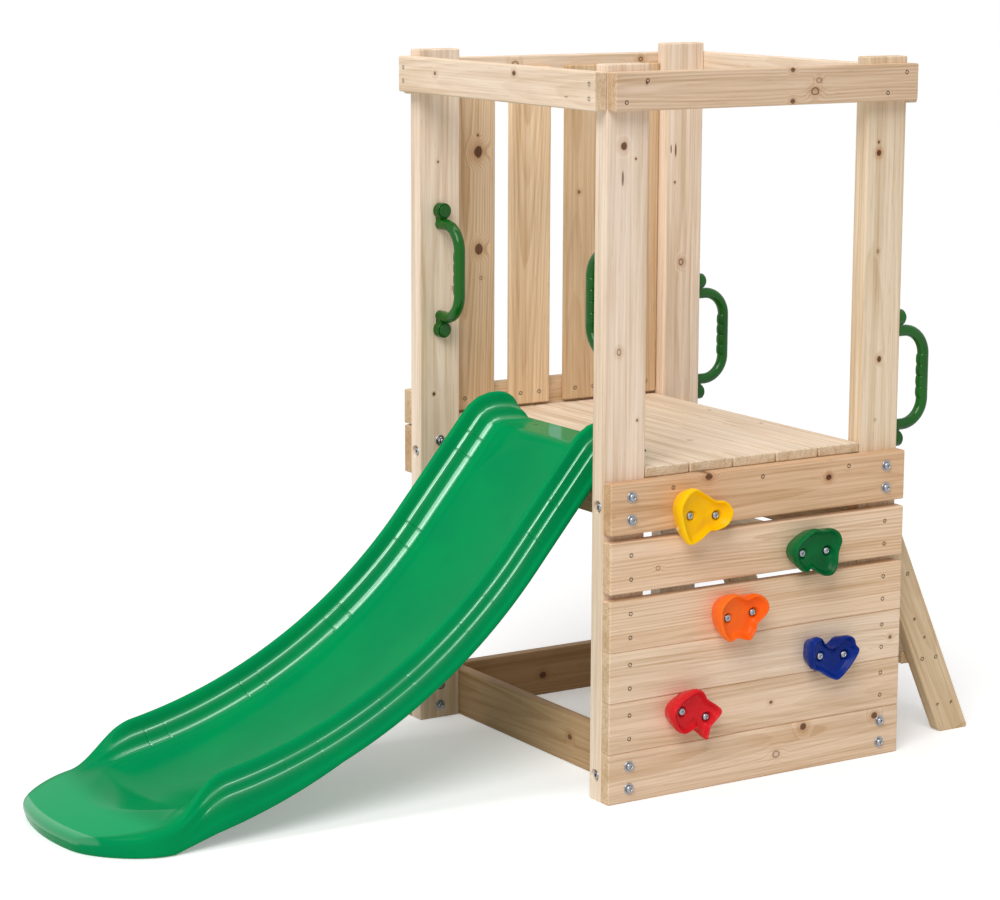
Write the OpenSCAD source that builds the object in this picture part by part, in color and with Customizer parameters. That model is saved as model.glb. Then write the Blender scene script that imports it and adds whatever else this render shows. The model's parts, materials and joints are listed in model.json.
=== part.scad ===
// Wooden climbing frame for small children.
// Four posts carry a deck and a ring of top rails. A moulded slide leaves the front, a board wall
// with climbing holds closes the right side, slats close the left side and a ladder leans on the back.
// X runs across the frame, the slide points to -Y and everything stands on Z = 0.

/* [Posts] */
// Width over the outer faces of the posts
frame_w = 646; // [600:1:760]
// Height of the posts
post_h = 1270; // [1200:1:1400]
// Post thickness, across the frame
post_t = 35; // [32:1:45]
// Post width, front to back
post_w = 86; // [80:1:100]
// Rounding on the long edges of the timber
edge_r = 3; // [1:0.5:4]

/* [Boards and rails] */
// Height of the wall boards and cross rails, depth of the ladder treads
board_w = 90; // [84:1:100]
// Thickness of the wall boards, cross rails and ladder treads
board_t = 24; // [20:1:28]
// Open gap under each of the two top wall boards
wall_gap = 12.5; // [6:0.5:20]
// Height of the top rails and the slat rail, width of the ladder rails
rail_w = 65; // [60:1:75]
// Thickness of those rails and of the deck cleats
rail_t = 25; // [22:1:30]
// How far the posts stand above the top rails
post_rise = 12; // [4:1:30]
// How far the side rails run past the back of the posts
rail_over = 5; // [0:1:15]
// How far the left and back top rails sit below the other two
rear_rail_drop = 6; // [0:1:12]
// How far the upper cross rail at the back sits below the one in front
back_rail_drop = 72; // [60:1:76]

/* [Deck] */
// Width of a deck board
deck_board_w = 91; // [84:1:100]
// Thickness of a deck board
deck_t = 18; // [16:1:24]
// Gap between deck boards
deck_gap = 3; // [2:0.5:6]
// Gap between the deck and the posts in front of it and behind it
deck_end_gap = 1.5; // [0.5:0.5:4]
// Height of the cleats under the deck
cleat_w = 34; // [30:1:36]

/* [Slats] */
// Width of a slat
slat_w = 91; // [70:1:100]
// Thickness of a slat
slat_t = 12; // [10:1:18]
// Gap between the deck and the feet of the slats
slat_lift = 5; // [2:1:12]
// How far the slats stop below the top of the rail
slat_drop = 20; // [5:1:24]
// Gap between the slat rail and the board below it
slat_rail_gap = 3; // [1:0.5:8]

/* [Ladder] */
// Lean of the ladder from upright, in degrees
ladder_lean = 24; // [20:0.1:26]
// Height of the middle of the lowest tread
tread_z = 148; // [130:1:150]
// Step from tread to tread
tread_step = 168; // [150:1:170]
// Height of the ground anchor holes
anchor_z = 54; // [40:1:70]
// Diameter of the ground anchor holes
anchor_d = 6; // [5:0.5:8]
// Distance between the screws in a tread's end, and between the anchor holes
pair_gap = 33; // [26:1:36]

/* [Slide] */
// Width over the rims
slide_w = 404; // [360:1:440]
// Height of the rims above the bed
rim_h = 56; // [48:1:65]
// Level of the lower ridge line above the bed
ridge_low = 12; // [8:1:16]
// Level of the upper ridge line above the bed
ridge_high = 33; // [26:1:38]
// Depth of the sides below the bed
skirt_h = 22; // [16:1:24]
// Extra depth of the sides at the foot
foot_skirt = 28; // [20:1:36]
// Thickness of the bed
bed_t = 12; // [8:1:15]
// Steepest slope in degrees
slide_slope = 50; // [44:1:54]
// Slope of the run-out in degrees
exit_slope = 8.5; // [6:0.5:12]
// Radius of the fold over the edge of the deck
crest_r = 26; // [25:1:40]
// Radius of the long sweep
sweep_r = 985; // [900:5:1020]
// Length of the run-out
runout = 229; // [195:1:240]
// Height of the bed at the tip of the foot
toe_z = 31; // [24:1:40]
// Radius of the foot's corners, seen from above
toe_corner = 85; // [80:1:140]
// Rounding of the foot's edge
toe_r = 16; // [10:1:20]
// How far the middle of the foot's front edge bows out
toe_bow = 42; // [0:1:60]
// Length of the lip that lies on the deck
lip_len = 86; // [70:1:88]
// Thickness of that lip
lip_t = 5; // [4:0.5:8]
// Length of the round end of the rims on the deck
rim_round = 60; // [40:1:60]
// Length over which the rims run out at the foot
rim_fall = 145; // [70:1:150]

/* [Handles] */
// Distance between a handle's two screws
handle_pitch = 222; // [200:1:240]
// Diameter of the handle's bar
handle_d = 21; // [18:0.5:24]
// Distance from the post to the middle of the bar
handle_reach = 70; // [60:1:80]
// Radius of the bar's bends
handle_bend = 46; // [36:1:48]
// Distance from a screw to the middle of the bar's leg
handle_leg = 25; // [22:1:30]
// Diameter of the screw pads
pad_d = 30; // [26:1:34]
// Height of the screw pads
pad_h = 17; // [10:1:20]
// Diameter of the caps on the pads
cap_d = 24; // [22:1:26]
// Height of the caps
cap_h = 3; // [2:0.5:10]
// How far a finger wave stands in from the bar
wave_h = 2.5; // [1:0.5:3]
// Distance between finger waves
wave_step = 20; // [16:1:22]
// Height of the middle of the front handles
front_handle_z = 862; // [800:1:960]
// Height of the middle of the back handles
back_handle_z = 690; // [688:1:800]

/* [Climbing holds] */
// How far a hold stands out from the wall
hold_h = 42; // [36:1:50]
// Thickness of a hold under its bolt heads
hold_seat = 20; // [16:1:24]
// Distance between a hold's bolts
hold_pitch = 55; // [48:1:60]
// Diameter of the bolt pockets
pocket_d = 18; // [16:1:24]

/* [Fasteners] */
// Diameter of the bolts
bolt_d = 8; // [6:0.5:10]
// Diameter of the bolt heads
bolt_head_d = 14; // [13:0.5:16]
// Height of the bolt heads
bolt_head_h = 5; // [4:0.5:6]
// Diameter of the washers
washer_d = 20; // [18:0.5:21]
// Thickness of the washers
washer_t = 1.6; // [1:0.1:2]
// Nut size across its flats
nut_af = 13; // [12:0.5:15]
// Height of the nuts
nut_h = 6.5; // [5:0.5:8]
// Distance between the two bolts in a board's end
bolt_pitch = 40; // [36:1:44]
// Depth of the recess for the heads of the cross bolts
recess_h = 8; // [7:0.5:12]
// Diameter of the screws
screw_d = 4; // [3:0.5:5]
// Diameter of the screw heads
screw_head_d = 8.5; // [7:0.5:10]
// Height of the countersunk screw heads
screw_head_h = 3.5; // [2.5:0.5:4]
// Distance between the two screws in a wall board's end
screw_pitch = 42; // [34:1:46]
// Depth that a screw goes into the piece it holds
screw_bite = 18; // [12:1:20]
// Clearance around fasteners and between fitted pieces
fit_gap = 0.2; // [0.1:0.05:0.4]

/* [Hidden] */
$fn = 48;
half_w = frame_w / 2;
wall_count = 6;
deck_count = 5;
slat_count = 4;
tread_count = 3;
wave_count = 4;
inner_d = deck_count * deck_board_w + (deck_count - 1) * deck_gap + 2 * deck_end_gap;
frame_d = inner_d + 2 * post_w;
post_x = half_w - post_t / 2;
back_y = frame_d - post_w;
rail_z = post_h - post_rise - rail_w;
wall_top = wall_count * board_w + 2 * wall_gap;
deck_z = wall_top + deck_t;
slat_rail_z = wall_top + slat_rail_gap;
upper_mid = wall_top - board_w / 2;
cleat_end = post_w + board_t + fit_gap;
ladder_x = half_w - post_t - rail_t;
left = -1;
right = 1;
front = 0;
back = 1;

// Colours of the materials
pine = [0.86, 0.76, 0.62];
pale_pine = [0.89, 0.80, 0.67];
slide_green = [0.02, 0.62, 0.30];
handle_green = [0.07, 0.42, 0.12];
zinc = [0.72, 0.73, 0.75];

// Outline points of the climbing holds, seen from outside: along the wall and up from the middle
hold_yellow = [[-60, 18], [-52, 38], [-38, 50], [-22, 51], [4, 36], [26, 24], [42, 22], [55, 5], [47, -17],
    [26, -27], [10, -28], [-12, -40], [-34, -46], [-43, -38], [-52, -14]];
hold_green = [[-56, 6], [-50, 20], [-27, 35], [-6, 44], [12, 40], [29, 42], [43, 34], [50, 18], [45, -2],
    [42, -25], [32, -41], [16, -43], [0, -35], [-12, -26], [-28, -32], [-45, -18], [-54, -4]];
hold_orange = [[-55, 8], [-53, 24], [-36, 38], [-18, 42], [-4, 36], [8, 31], [28, 37], [45, 28], [52, 12],
    [46, -3], [31, -17], [26, -30], [13, -44], [-2, -41], [-16, -38], [-32, -41], [-46, -28], [-52, -9]];
hold_blue = [[-57, 14], [-56, 33], [-40, 41], [-27, 28], [-15, 18], [-2, 15], [10, 20], [20, 31], [32, 34],
    [41, 28], [45, 17], [52, 7], [45, -9], [28, -29], [8, -43], [-7, -40], [-36, -23], [-51, -17], [-57, -4]];
hold_red = [[-57, 11], [-52, 22], [-34, 35], [-6, 47], [7, 45], [15, 37], [22, 27], [43, 12], [50, 2],
    [44, -9], [29, -24], [24, -36], [20, -45], [16, -43], [9, -29], [0, -22], [-18, -28], [-32, -28],
    [-44, -19], [-55, -1]];
// Each hold: name, colour, wall board from the top, share of the frame's depth from the front, rise from
// that board's middle line, tilt of its bolt line, outline
holds = [
    ["hold_yellow", [1.0, 0.75, 0.0], 1, 0.274, -22, -5, hold_yellow],
    ["hold_green", [0.02, 0.40, 0.20], 2, 0.656, -12, -1, hold_green],
    ["hold_orange", [1.0, 0.42, 0.10], 3, 0.405, -4, 4, hold_orange],
    ["hold_blue", [0.02, 0.18, 0.58], 4, 0.727, -14, -4, hold_blue],
    ["hold_red", [0.80, 0.10, 0.15], 5, 0.255, 11, -18, hold_red]
];

// Side, rolled rim and dished face of a hold: share of the outline and share of the height
hold_rings = [[0.94, 0], [1, 0.3], [1, 0.7], [0.93, 0.97], [0.82, 1], [0.6, 0.86], [0.3, 0.78]];

// Height of the foot of a wall board, counted from the floor
function board_z(i) = i * board_w + max(0, i - 3) * wall_gap;

// Middle of the front and back posts
function post_y(end) = end == front ? post_w / 2 : frame_d - post_w / 2;

// Feet of the top rails on the sides and at the ends, and of a cross rail
function side_rail_z(side) = rail_z - (side == left ? rear_rail_drop : 0);
function end_rail_z(end) = rail_z - (end == back ? rear_rail_drop : 0);
function cross_rail_z(end, i) = board_z(i) - (end == back && i > 0 ? back_rail_drop : 0);

// Middle line of the ladder rails, which crosses the bolts at deck level
function ladder_y(z) = post_y(back) + (upper_mid - z) * tan(ladder_lean);
function tread_mid(i) = tread_z + (i - 1) * tread_step;

slat_step = (inner_d - 2 * deck_end_gap - slat_w) / (slat_count - 1);
function slat_y(i) = post_w + deck_end_gap + (i - 1) * slat_step;
function deck_y(i) = post_w + deck_end_gap + (i - 1) * (deck_board_w + deck_gap);
function side_grip(end, i) = board_t + post_t + (end == back && i > 0 ? rail_t : 0);

// Fasteners: seat of the head, direction into the wood, length held
side_rows = [0, wall_count - 1];
function side_bolt_list(side, end, rows) = [
    for (i = rows)
    for (k = [-1, 1])
    [[side * (half_w + board_t), post_y(end), board_z(i) + board_w / 2 + k * bolt_pitch / 2],
        [-side, 0, 0], side_grip(end, i)]
];
function cross_bolt_list(side, end) = [
    for (i = side_rows)
    [[side * post_x, end == front ? recess_h : frame_d - recess_h, cross_rail_z(end, i) + board_w / 2],
        [0, end == front ? 1 : -1, 0], post_w + board_t - recess_h]
];
short_bolts = concat(
    [for (s = [left, right]) each side_bolt_list(s, front, side_rows)],
    [for (s = [left, right]) each side_bolt_list(s, back, [0])]
);
long_bolts = [for (s = [left, right]) each side_bolt_list(s, back, [wall_count - 1])];
through_bolts = [for (s = [left, right]) for (e = [front, back]) each cross_bolt_list(s, e)];
all_bolts = concat(short_bolts, long_bolts, through_bolts);

rail_screw_y = 21;
rail_screw_z = 17.5;
end_rail_screw_z = 12;
function wall_screw_list(end, i) = [
    for (k = [-1, 1])
    [[half_w + board_t, post_y(end), board_z(i) + board_w / 2 + k * screw_pitch / 2],
        [-1, 0, 0], board_t + screw_bite]
];
function side_rail_screw_list(side, end, foot_z) = [
    for (k = [-1, 1])
    [[side * (half_w + rail_t), post_y(end) + k * rail_screw_y, foot_z + rail_w / 2 + k * rail_screw_z],
        [-side, 0, 0], rail_t + screw_bite]
];
function end_rail_screw_list(side, end) = [
    for (k = [-1, 1])
    let (z = end_rail_z(end) + rail_w / 2 + k * end_rail_screw_z)
    [[side * post_x, end == front ? -rail_t : frame_d + rail_t, z],
        [0, end == front ? 1 : -1, 0], rail_t + screw_bite]
];
cleat_screw_step = 192;
function cleat_screw_list(side) = [
    for (k = [-1, 0, 1])
    [[side * (half_w + board_t), frame_d / 2 + k * cleat_screw_step, wall_top - cleat_w / 2],
        [-side, 0, 0], board_t + screw_bite]
];
slat_top = side_rail_z(left) + rail_w - slat_drop;
slat_screw_gap = 42;
slat_screw_rise = 22;
function slat_screw_list(i) = [
    for (z = [deck_z + slat_lift + slat_screw_rise, slat_top - slat_screw_rise])
    for (k = [-1, 1])
    [[slat_t - half_w, slat_y(i) + slat_w / 2 + k * slat_screw_gap / 2, z], [-1, 0, 0], slat_t + screw_bite]
];
deck_screw_shift = 15;
deck_screw_bite = 11;
function deck_screw_list(side, i) = [
    [[side * (half_w - rail_t / 2), deck_y(i) + deck_board_w / 2 + deck_screw_shift, wall_top - cleat_w],
        [0, 0, 1], cleat_w + deck_screw_bite]
];
function tread_screw_list(side, i) = [
    for (k = [-1, 1])
    [[side * (half_w - post_t), ladder_y(tread_mid(i)) + k * pair_gap / 2, tread_mid(i)],
        [-side, 0, 0], rail_t + screw_bite]
];
pad_seat = 5;
function handle_screw_list(side, end) = [
    for (k = [-1, 1])
    end == front
        ? [[side * (half_w - post_t - pad_seat), post_y(front), front_handle_z + k * handle_pitch / 2],
            [side, 0, 0], pad_seat + screw_bite]
        : [[side * post_x, frame_d + pad_seat, back_handle_z + k * handle_pitch / 2],
            [0, -1, 0], pad_seat + screw_bite]
];
slide_screw_x = 110;
slide_screw_in = 30;
slide_screws = [
    for (s = [left, right])
    [[s * slide_screw_x, post_w + lip_len - slide_screw_in, deck_z + lip_t],
        [0, 0, -1], lip_t + deck_screw_bite]
];
function hold_mid(h) = [h[3] * frame_d, board_z(wall_count - h[2]) + board_w / 2 + h[4]];
function hold_bolt_list(h) = [
    for (k = [-1, 1])
    [[half_w + board_t + hold_seat, hold_mid(h)[0] + k * hold_pitch / 2 * cos(h[5]),
        hold_mid(h)[1] + k * hold_pitch / 2 * sin(h[5])], [-1, 0, 0], hold_seat + board_t]
];
all_hold_bolts = [for (h = holds) each hold_bolt_list(h)];
frame_screw_list = concat(
    [for (e = [front, back]) for (i = [1 : wall_count - 2]) each wall_screw_list(e, i)],
    [for (s = [left, right]) for (e = [front, back]) each side_rail_screw_list(s, e, side_rail_z(s))],
    [for (e = [front, back]) each side_rail_screw_list(left, e, slat_rail_z)],
    [for (s = [left, right]) for (e = [front, back]) each end_rail_screw_list(s, e)],
    [for (s = [left, right]) each cleat_screw_list(s)]
);
handle_screws = [for (s = [left, right]) for (e = [front, back]) each handle_screw_list(s, e)];

// The slide's bed line, seen from the side: a lip on the deck, a fold, a straight drop, a sweep
// and a run-out. Each station is its place along Y and Z, the slope there, and the distance to the tip.
bed_top = deck_z + lip_t;
fold_y = post_w - 3.5;
crest_y = fold_y + crest_r * tan(slide_slope / 2);
crest_drop = crest_r * (1 - cos(slide_slope));
sweep_drop = sweep_r * (cos(exit_slope) - cos(slide_slope));
sweep_run = sweep_r * (sin(slide_slope) - sin(exit_slope));
drop_len = (bed_top - toe_z - crest_drop - sweep_drop - runout * sin(exit_slope)) / sin(slide_slope);
drop_y = crest_y - crest_r * sin(slide_slope);
sweep_y = drop_y - drop_len * cos(slide_slope);
sweep_z = bed_top - crest_drop - drop_len * sin(slide_slope);
toe_y = sweep_y - sweep_run - runout * cos(exit_slope);
lip_y = post_w + lip_len;
rim_end_in = 12;
deck_edge = post_w - fit_gap;
corner_turn = atan((crest_y - deck_edge) / (crest_r - lip_t));
sweep_len = sweep_r * (slide_slope - exit_slope) * PI / 180;
drop_steps = 4;
sweep_steps = 18;
skirt_start = 470;
foot_flat = 122;
lip_marks = [0, rim_end_in, rim_end_in + 1, rim_end_in + 4, rim_end_in + 10, rim_end_in + 18,
    rim_end_in + 30, rim_end_in + 45, rim_end_in + rim_round];
crest_turns = [0, corner_turn / 2, corner_turn, (corner_turn + slide_slope) / 2, slide_slope];
toe_marks = [runout, 216, 203, 190, 177, 164, 150, 132, 112, 92, 74, 56, 40, 26, 16, 8, 3, 0];
crest_off = runout + sweep_len + drop_len;
stations = concat(
    [for (u = lip_marks) if (lip_y - u > crest_y) [lip_y - u, bed_top, 0, crest_off]],
    [for (a = crest_turns) [crest_y - crest_r * sin(a), bed_top - crest_r * (1 - cos(a)), a, crest_off]],
    [
        for (i = [1 : drop_steps])
        let (s = drop_len * i / drop_steps)
        [drop_y - s * cos(slide_slope), bed_top - crest_drop - s * sin(slide_slope), slide_slope,
            crest_off - s]
    ],
    [
        for (i = [1 : sweep_steps - 1])
        let (a = slide_slope + (exit_slope - slide_slope) * i / sweep_steps)
        [sweep_y - sweep_r * (sin(slide_slope) - sin(a)), sweep_z - sweep_r * (cos(a) - cos(slide_slope)), a,
            runout + sweep_r * (a - exit_slope) * PI / 180]
    ],
    [for (d = toe_marks) [toe_y + d * cos(exit_slope), toe_z + d * sin(exit_slope), exit_slope, d]]
);

function clamp(v) = min(1, max(0, v));
function ease(v) = let (c = clamp(v)) c * c * (3 - 2 * c);
function quarter_round(v) = let (c = 1 - clamp(v)) sqrt(1 - c * c);

// Share of the full rim height at a station: round at the deck end, an S curve at the foot
function foot_share(st) = ease((st[3] - foot_flat) / rim_fall);
function rim_share(st) = min(quarter_round((lip_y - rim_end_in - st[0]) / rim_round), foot_share(st));

// Room under the bed line at a station, square to it: down to the deck and its front edge, and to the floor
function room_at(st) = min(
    st[1] / cos(st[2]),
    max((st[1] - deck_z) / cos(st[2]), (deck_edge - st[0]) / max(sin(st[2]), 0.001))
);
// Depth of the sides and of the hollow under the bed at a station
function skirt_at(st) = min(
    room_at(st),
    skirt_h + foot_skirt * clamp((skirt_start - st[3]) / (skirt_start - foot_flat))
);
function under_at(st) = min(skirt_at(st), skirt_at(st) + foot_share(st) * (bed_t - skirt_at(st)));

// Half of the slide's cross-section, from the middle of the bed over the rim to the middle underneath
function rim_half(w, skirt, under) = [
    [0, 0], [w - 66, 0], [w - 56, 3], [w - 50, ridge_low - 2], [w - 44, ridge_low], [w - 37, ridge_high - 2],
    [w - 32, ridge_high], [w - 29, rim_h - 8], [w - 26, rim_h - 2], [w - 21, rim_h], [w - 16, rim_h - 2],
    [w - 14, rim_h - 8], [w - 13, ridge_high + 2], [w - 9.5, ridge_high], [w - 8.5, ridge_low + 5],
    [w - 5, ridge_low + 3], [w - 4, -0.35 * skirt], [w - 1, -0.45 * skirt], [w, -0.8 * skirt],
    [w - 2, -skirt], [w - 20, -skirt], [w - 32, -under], [0, -under]
];
function flat_half(w, skirt, under) =
    let (r = min(toe_r, 0.5 * skirt))
    concat(
        [for (x = [0, w - 66, w - 56, w - 50, w - 44, w - 37, w - 32]) [x, 0]],
        [for (i = [0 : 7]) [w - r + r * sin(i * 90 / 7), r * cos(i * 90 / 7) - r]],
        [for (t = [0.58, 0.66, 0.74, 0.82]) [w, -t * skirt]],
        [[w - 2, -skirt], [w - 20, -skirt], [w - 32, -under], [0, -under]]
    );

// Plan and edge of the foot: share of the width, how far the edge bows back, share of the depth
nose_min = 0.2;
function toe_share(d) = d >= toe_corner ? 1
    : 1 - toe_corner / (slide_w / 2) * (1 - quarter_round(d / toe_corner));
function toe_back(x, d) = toe_bow * pow(x / (slide_w / 2), 2) * clamp(1 - d / runout);
function nose_share(d) = max(nose_min, quarter_round(d / toe_r));

function slide_point(st, p, skirt) =
    let (
        x = p[0] * toe_share(st[3]),
        n = -skirt / 2 + (p[1] + skirt / 2) * nose_share(st[3])
    )
    [x, st[0] - n * sin(st[2]) + toe_back(x, st[3]), st[1] + n * cos(st[2])];

function slide_section(st) =
    let (
        k = rim_share(st),
        skirt = skirt_at(st),
        rim = rim_half(slide_w / 2, skirt, under_at(st)),
        flat = flat_half(slide_w / 2, skirt, under_at(st)),
        half = [for (i = [0 : len(rim) - 1]) k * rim[i] + (1 - k) * flat[i]],
        last = len(half) - 1
    )
    [
        each [for (p = half) slide_point(st, p, skirt)],
        each [for (i = [1 : last - 1]) slide_point(st, [-half[last - i][0], half[last - i][1]], skirt)]
    ];

// Closed solid through a row of like sections, with a middle point in each end
module loft(sections) {
    count = len(sections);
    size = len(sections[0]);
    ends = [for (s = [sections[0], sections[count - 1]]) [for (i = [0 : 2]) (min([for (p = s) p[i]])
        + max([for (p = s) p[i]])) / 2]];
    points = concat([for (s = sections) each s], ends);
    sides = [
        for (j = [0 : count - 2])
        for (i = [0 : size - 1])
        let (n = (i + 1) % size, a = j * size, b = a + size)
        each [[a + i, a + n, b + i], [a + n, b + n, b + i]]
    ];
    first = [for (i = [0 : size - 1]) [count * size, (i + 1) % size, i]];
    last = [for (i = [0 : size - 1])
        [count * size + 1, (count - 1) * size + i, (count - 1) * size + (i + 1) % size]];
    polyhedron(points, concat(sides, first, last));
}

// Timber with rounded long edges, along one axis
module rounded_rect(w, h) {
    translate([edge_r, 0]) square([w - 2 * edge_r, h]);
    translate([0, edge_r]) square([w, h - 2 * edge_r]);
    for (x = [edge_r, w - edge_r])
        for (y = [edge_r, h - edge_r])
            translate([x, y]) circle(edge_r);
}

module timber_x(x0, x1, y, z, size_y, size_z) {
    translate([x0, y, z]) rotate([90, 0, 90]) linear_extrude(x1 - x0) rounded_rect(size_y, size_z);
}

module timber_y(y0, y1, x, z, size_x, size_z) {
    translate([x, y1, z]) rotate([90, 0, 0]) linear_extrude(y1 - y0) rounded_rect(size_x, size_z);
}

module timber_z(z0, z1, x, y, size_x, size_y) {
    translate([x, y, z0]) linear_extrude(z1 - z0) rounded_rect(size_x, size_y);
}

// Puts a child that points along +Z at a fastener's seat, pointing into the wood
module seated(f) {
    turn = [0, acos(f[1][2]), atan2(f[1][1], f[1][0])];
    translate(f[0]) rotate(turn) children();
}

module screw(length) {
    tip_h = 5;
    tip_d = 0.8;
    cylinder(h = screw_head_h, d1 = screw_head_d, d2 = screw_d);
    translate([0, 0, screw_head_h]) cylinder(h = length - screw_head_h - tip_h, d = screw_d);
    translate([0, 0, length - tip_h]) cylinder(h = tip_h, d1 = screw_d, d2 = tip_d);
}

module screw_holes(list) {
    for (f = list) seated(f) {
        translate([0, 0, -1]) cylinder(h = f[2] + 1 + fit_gap, d = screw_d + 2 * fit_gap);
        translate([0, 0, -fit_gap])
            cylinder(h = screw_head_h + fit_gap, d1 = screw_head_d + 3 * fit_gap, d2 = screw_d + 2 * fit_gap);
    }
}

module screws(list) {
    color(zinc) for (f = list) seated(f) screw(f[2]);
}

// Hexagon socket in the bolt heads, and thread that stands out of a nut
socket_af = 5;
socket_h = 3;
thread_out = 3;
module bolt(grip) {
    difference() {
        union() {
            translate([0, 0, -washer_t - bolt_head_h]) cylinder(h = bolt_head_h, d = bolt_head_d);
            translate([0, 0, -washer_t]) cylinder(h = grip + 2 * washer_t + nut_h + thread_out, d = bolt_d);
        }
        translate([0, 0, -washer_t - bolt_head_h - 1])
            cylinder(h = socket_h + 1, d = socket_af / cos(30), $fn = 6);
    }
}

module bolts(list) {
    color(zinc) for (f = list) seated(f) bolt(f[2]);
}

module bolt_holes(list) {
    for (f = list) seated(f) translate([0, 0, -1]) cylinder(h = f[2] + 2, d = bolt_d + 2 * fit_gap);
}

module recesses(list) {
    for (f = list) seated(f) translate([0, 0, -recess_h - 1]) cylinder(h = recess_h + 1, d = washer_d + 2);
}

module ring(height, outer, inner, sides) {
    difference() {
        cylinder(h = height, d = outer, $fn = sides);
        translate([0, 0, -1]) cylinder(h = height + 2, d = inner);
    }
}

module post(side, end) {
    color(pine) difference() {
        timber_z(0, post_h, side * post_x - post_t / 2, post_y(end) - post_w / 2, post_t, post_w);
        bolt_holes(side_bolt_list(side, end, side_rows));
        bolt_holes(cross_bolt_list(side, end));
        recesses(cross_bolt_list(side, end));
        screw_holes(side_rail_screw_list(side, end, side_rail_z(side)));
        screw_holes(end_rail_screw_list(side, end));
        screw_holes(handle_screw_list(side, end));
        if (side == right)
            for (i = [1 : wall_count - 2])
                screw_holes(wall_screw_list(end, i));
        if (side == left) screw_holes(side_rail_screw_list(left, end, slat_rail_z));
    }
}

module end_rail(end) {
    color(pale_pine) difference() {
        timber_x(-half_w, half_w, end == front ? -rail_t : frame_d, end_rail_z(end), rail_t, rail_w);
        for (s = [left, right]) screw_holes(end_rail_screw_list(s, end));
    }
}

module side_rail(side) {
    x = side == right ? half_w : -half_w - rail_t;
    color(pale_pine) difference() {
        timber_y(0, frame_d + rail_over, x, side_rail_z(side), rail_t, rail_w);
        for (e = [front, back]) screw_holes(side_rail_screw_list(side, e, side_rail_z(side)));
        if (side == left)
            for (i = [1 : slat_count])
                screw_holes(slat_screw_list(i));
    }
}

module slat_rail() {
    color(pale_pine) difference() {
        timber_y(0, frame_d, -half_w - rail_t, slat_rail_z, rail_t, rail_w);
        for (e = [front, back]) screw_holes(side_rail_screw_list(left, e, slat_rail_z));
        for (i = [1 : slat_count]) screw_holes(slat_screw_list(i));
    }
}

module slat(i) {
    color(pine) difference() {
        timber_z(deck_z + slat_lift, slat_top, -half_w, slat_y(i), slat_t, slat_w);
        screw_holes(slat_screw_list(i));
    }
}

// Board on the left side, at the height of the wall board with the same number from the floor
module left_board(i) {
    color(pine) difference() {
        timber_y(0, frame_d, -half_w - board_t, board_z(i), board_t, board_w);
        for (e = [front, back]) bolt_holes(side_bolt_list(left, e, [i]));
        if (i > 0) screw_holes(cleat_screw_list(left));
    }
}

// Wall board, numbered from the top
module wall_board(number) {
    i = wall_count - number;
    bolted = i == 0 || i == wall_count - 1;
    color(pine) difference() {
        timber_y(0, frame_d, half_w, board_z(i), board_t, board_w);
        for (e = [front, back]) {
            if (bolted) bolt_holes(side_bolt_list(right, e, [i]));
            else screw_holes(wall_screw_list(e, i));
        }
        if (number == 1) screw_holes(cleat_screw_list(right));
        for (h = holds)
            if (h[2] == number) {
                bolt_holes(hold_bolt_list(h));
                for (f = hold_bolt_list(h)) seated(f) translate([0, 0, f[2] - barrel_h - fit_gap])
                    cylinder(h = barrel_h + 1, d = barrel_d + 2 * fit_gap);
            }
    }
}

// Rail across the frame, against the inner side of the posts
module cross_rail(end, i) {
    y = end == front ? post_w : back_y - board_t;
    color(pine) difference() {
        timber_x(-half_w, half_w, y, cross_rail_z(end, i), board_t, board_w);
        for (s = [left, right]) bolt_holes(cross_bolt_list(s, end));
    }
}

module deck_board(i) {
    color(pale_pine) difference() {
        timber_x(-half_w, half_w, deck_y(i), wall_top, deck_board_w, deck_t);
        for (s = [left, right]) screw_holes(deck_screw_list(s, i));
        if (i == 1) screw_holes(slide_screws);
    }
}

module deck_cleat(side) {
    x = side == right ? half_w - rail_t : -half_w;
    color(pine) difference() {
        timber_y(cleat_end, frame_d - cleat_end, x, wall_top - cleat_w, rail_t, cleat_w);
        screw_holes(cleat_screw_list(side));
        for (i = [1 : deck_count]) screw_holes(deck_screw_list(side, i));
    }
}

module ladder_rail(side) {
    x = side == right ? ladder_x : -ladder_x - rail_t;
    reach = post_h;
    color(pine) difference() {
        intersection() {
            translate([x, post_y(back), upper_mid]) rotate([ladder_lean, 0, 0])
                timber_z(-reach, reach, 0, -rail_w / 2, rail_t, rail_w);
            translate([x - 1, back_y + fit_gap, 0]) cube([rail_t + 2, reach, wall_top]);
        }
        bolt_holes(side_bolt_list(side, back, [wall_count - 1]));
        for (i = [1 : tread_count]) screw_holes(tread_screw_list(side, i));
        for (k = [-1, 1])
            translate([x - 1, ladder_y(anchor_z) + k * pair_gap / 2, anchor_z])
                rotate([0, 90, 0]) cylinder(h = rail_t + 2, d = anchor_d);
    }
}

module ladder_tread(i) {
    z = tread_mid(i);
    color(pale_pine) difference() {
        timber_x(-ladder_x, ladder_x, ladder_y(z) - board_w / 2, z - board_t / 2, board_w, board_t);
        for (s = [left, right]) screw_holes(tread_screw_list(s, i));
    }
}

module slide() {
    color(slide_green) difference() {
        loft([for (st = stations) slide_section(st)]);
        screw_holes(slide_screws);
    }
}

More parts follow.
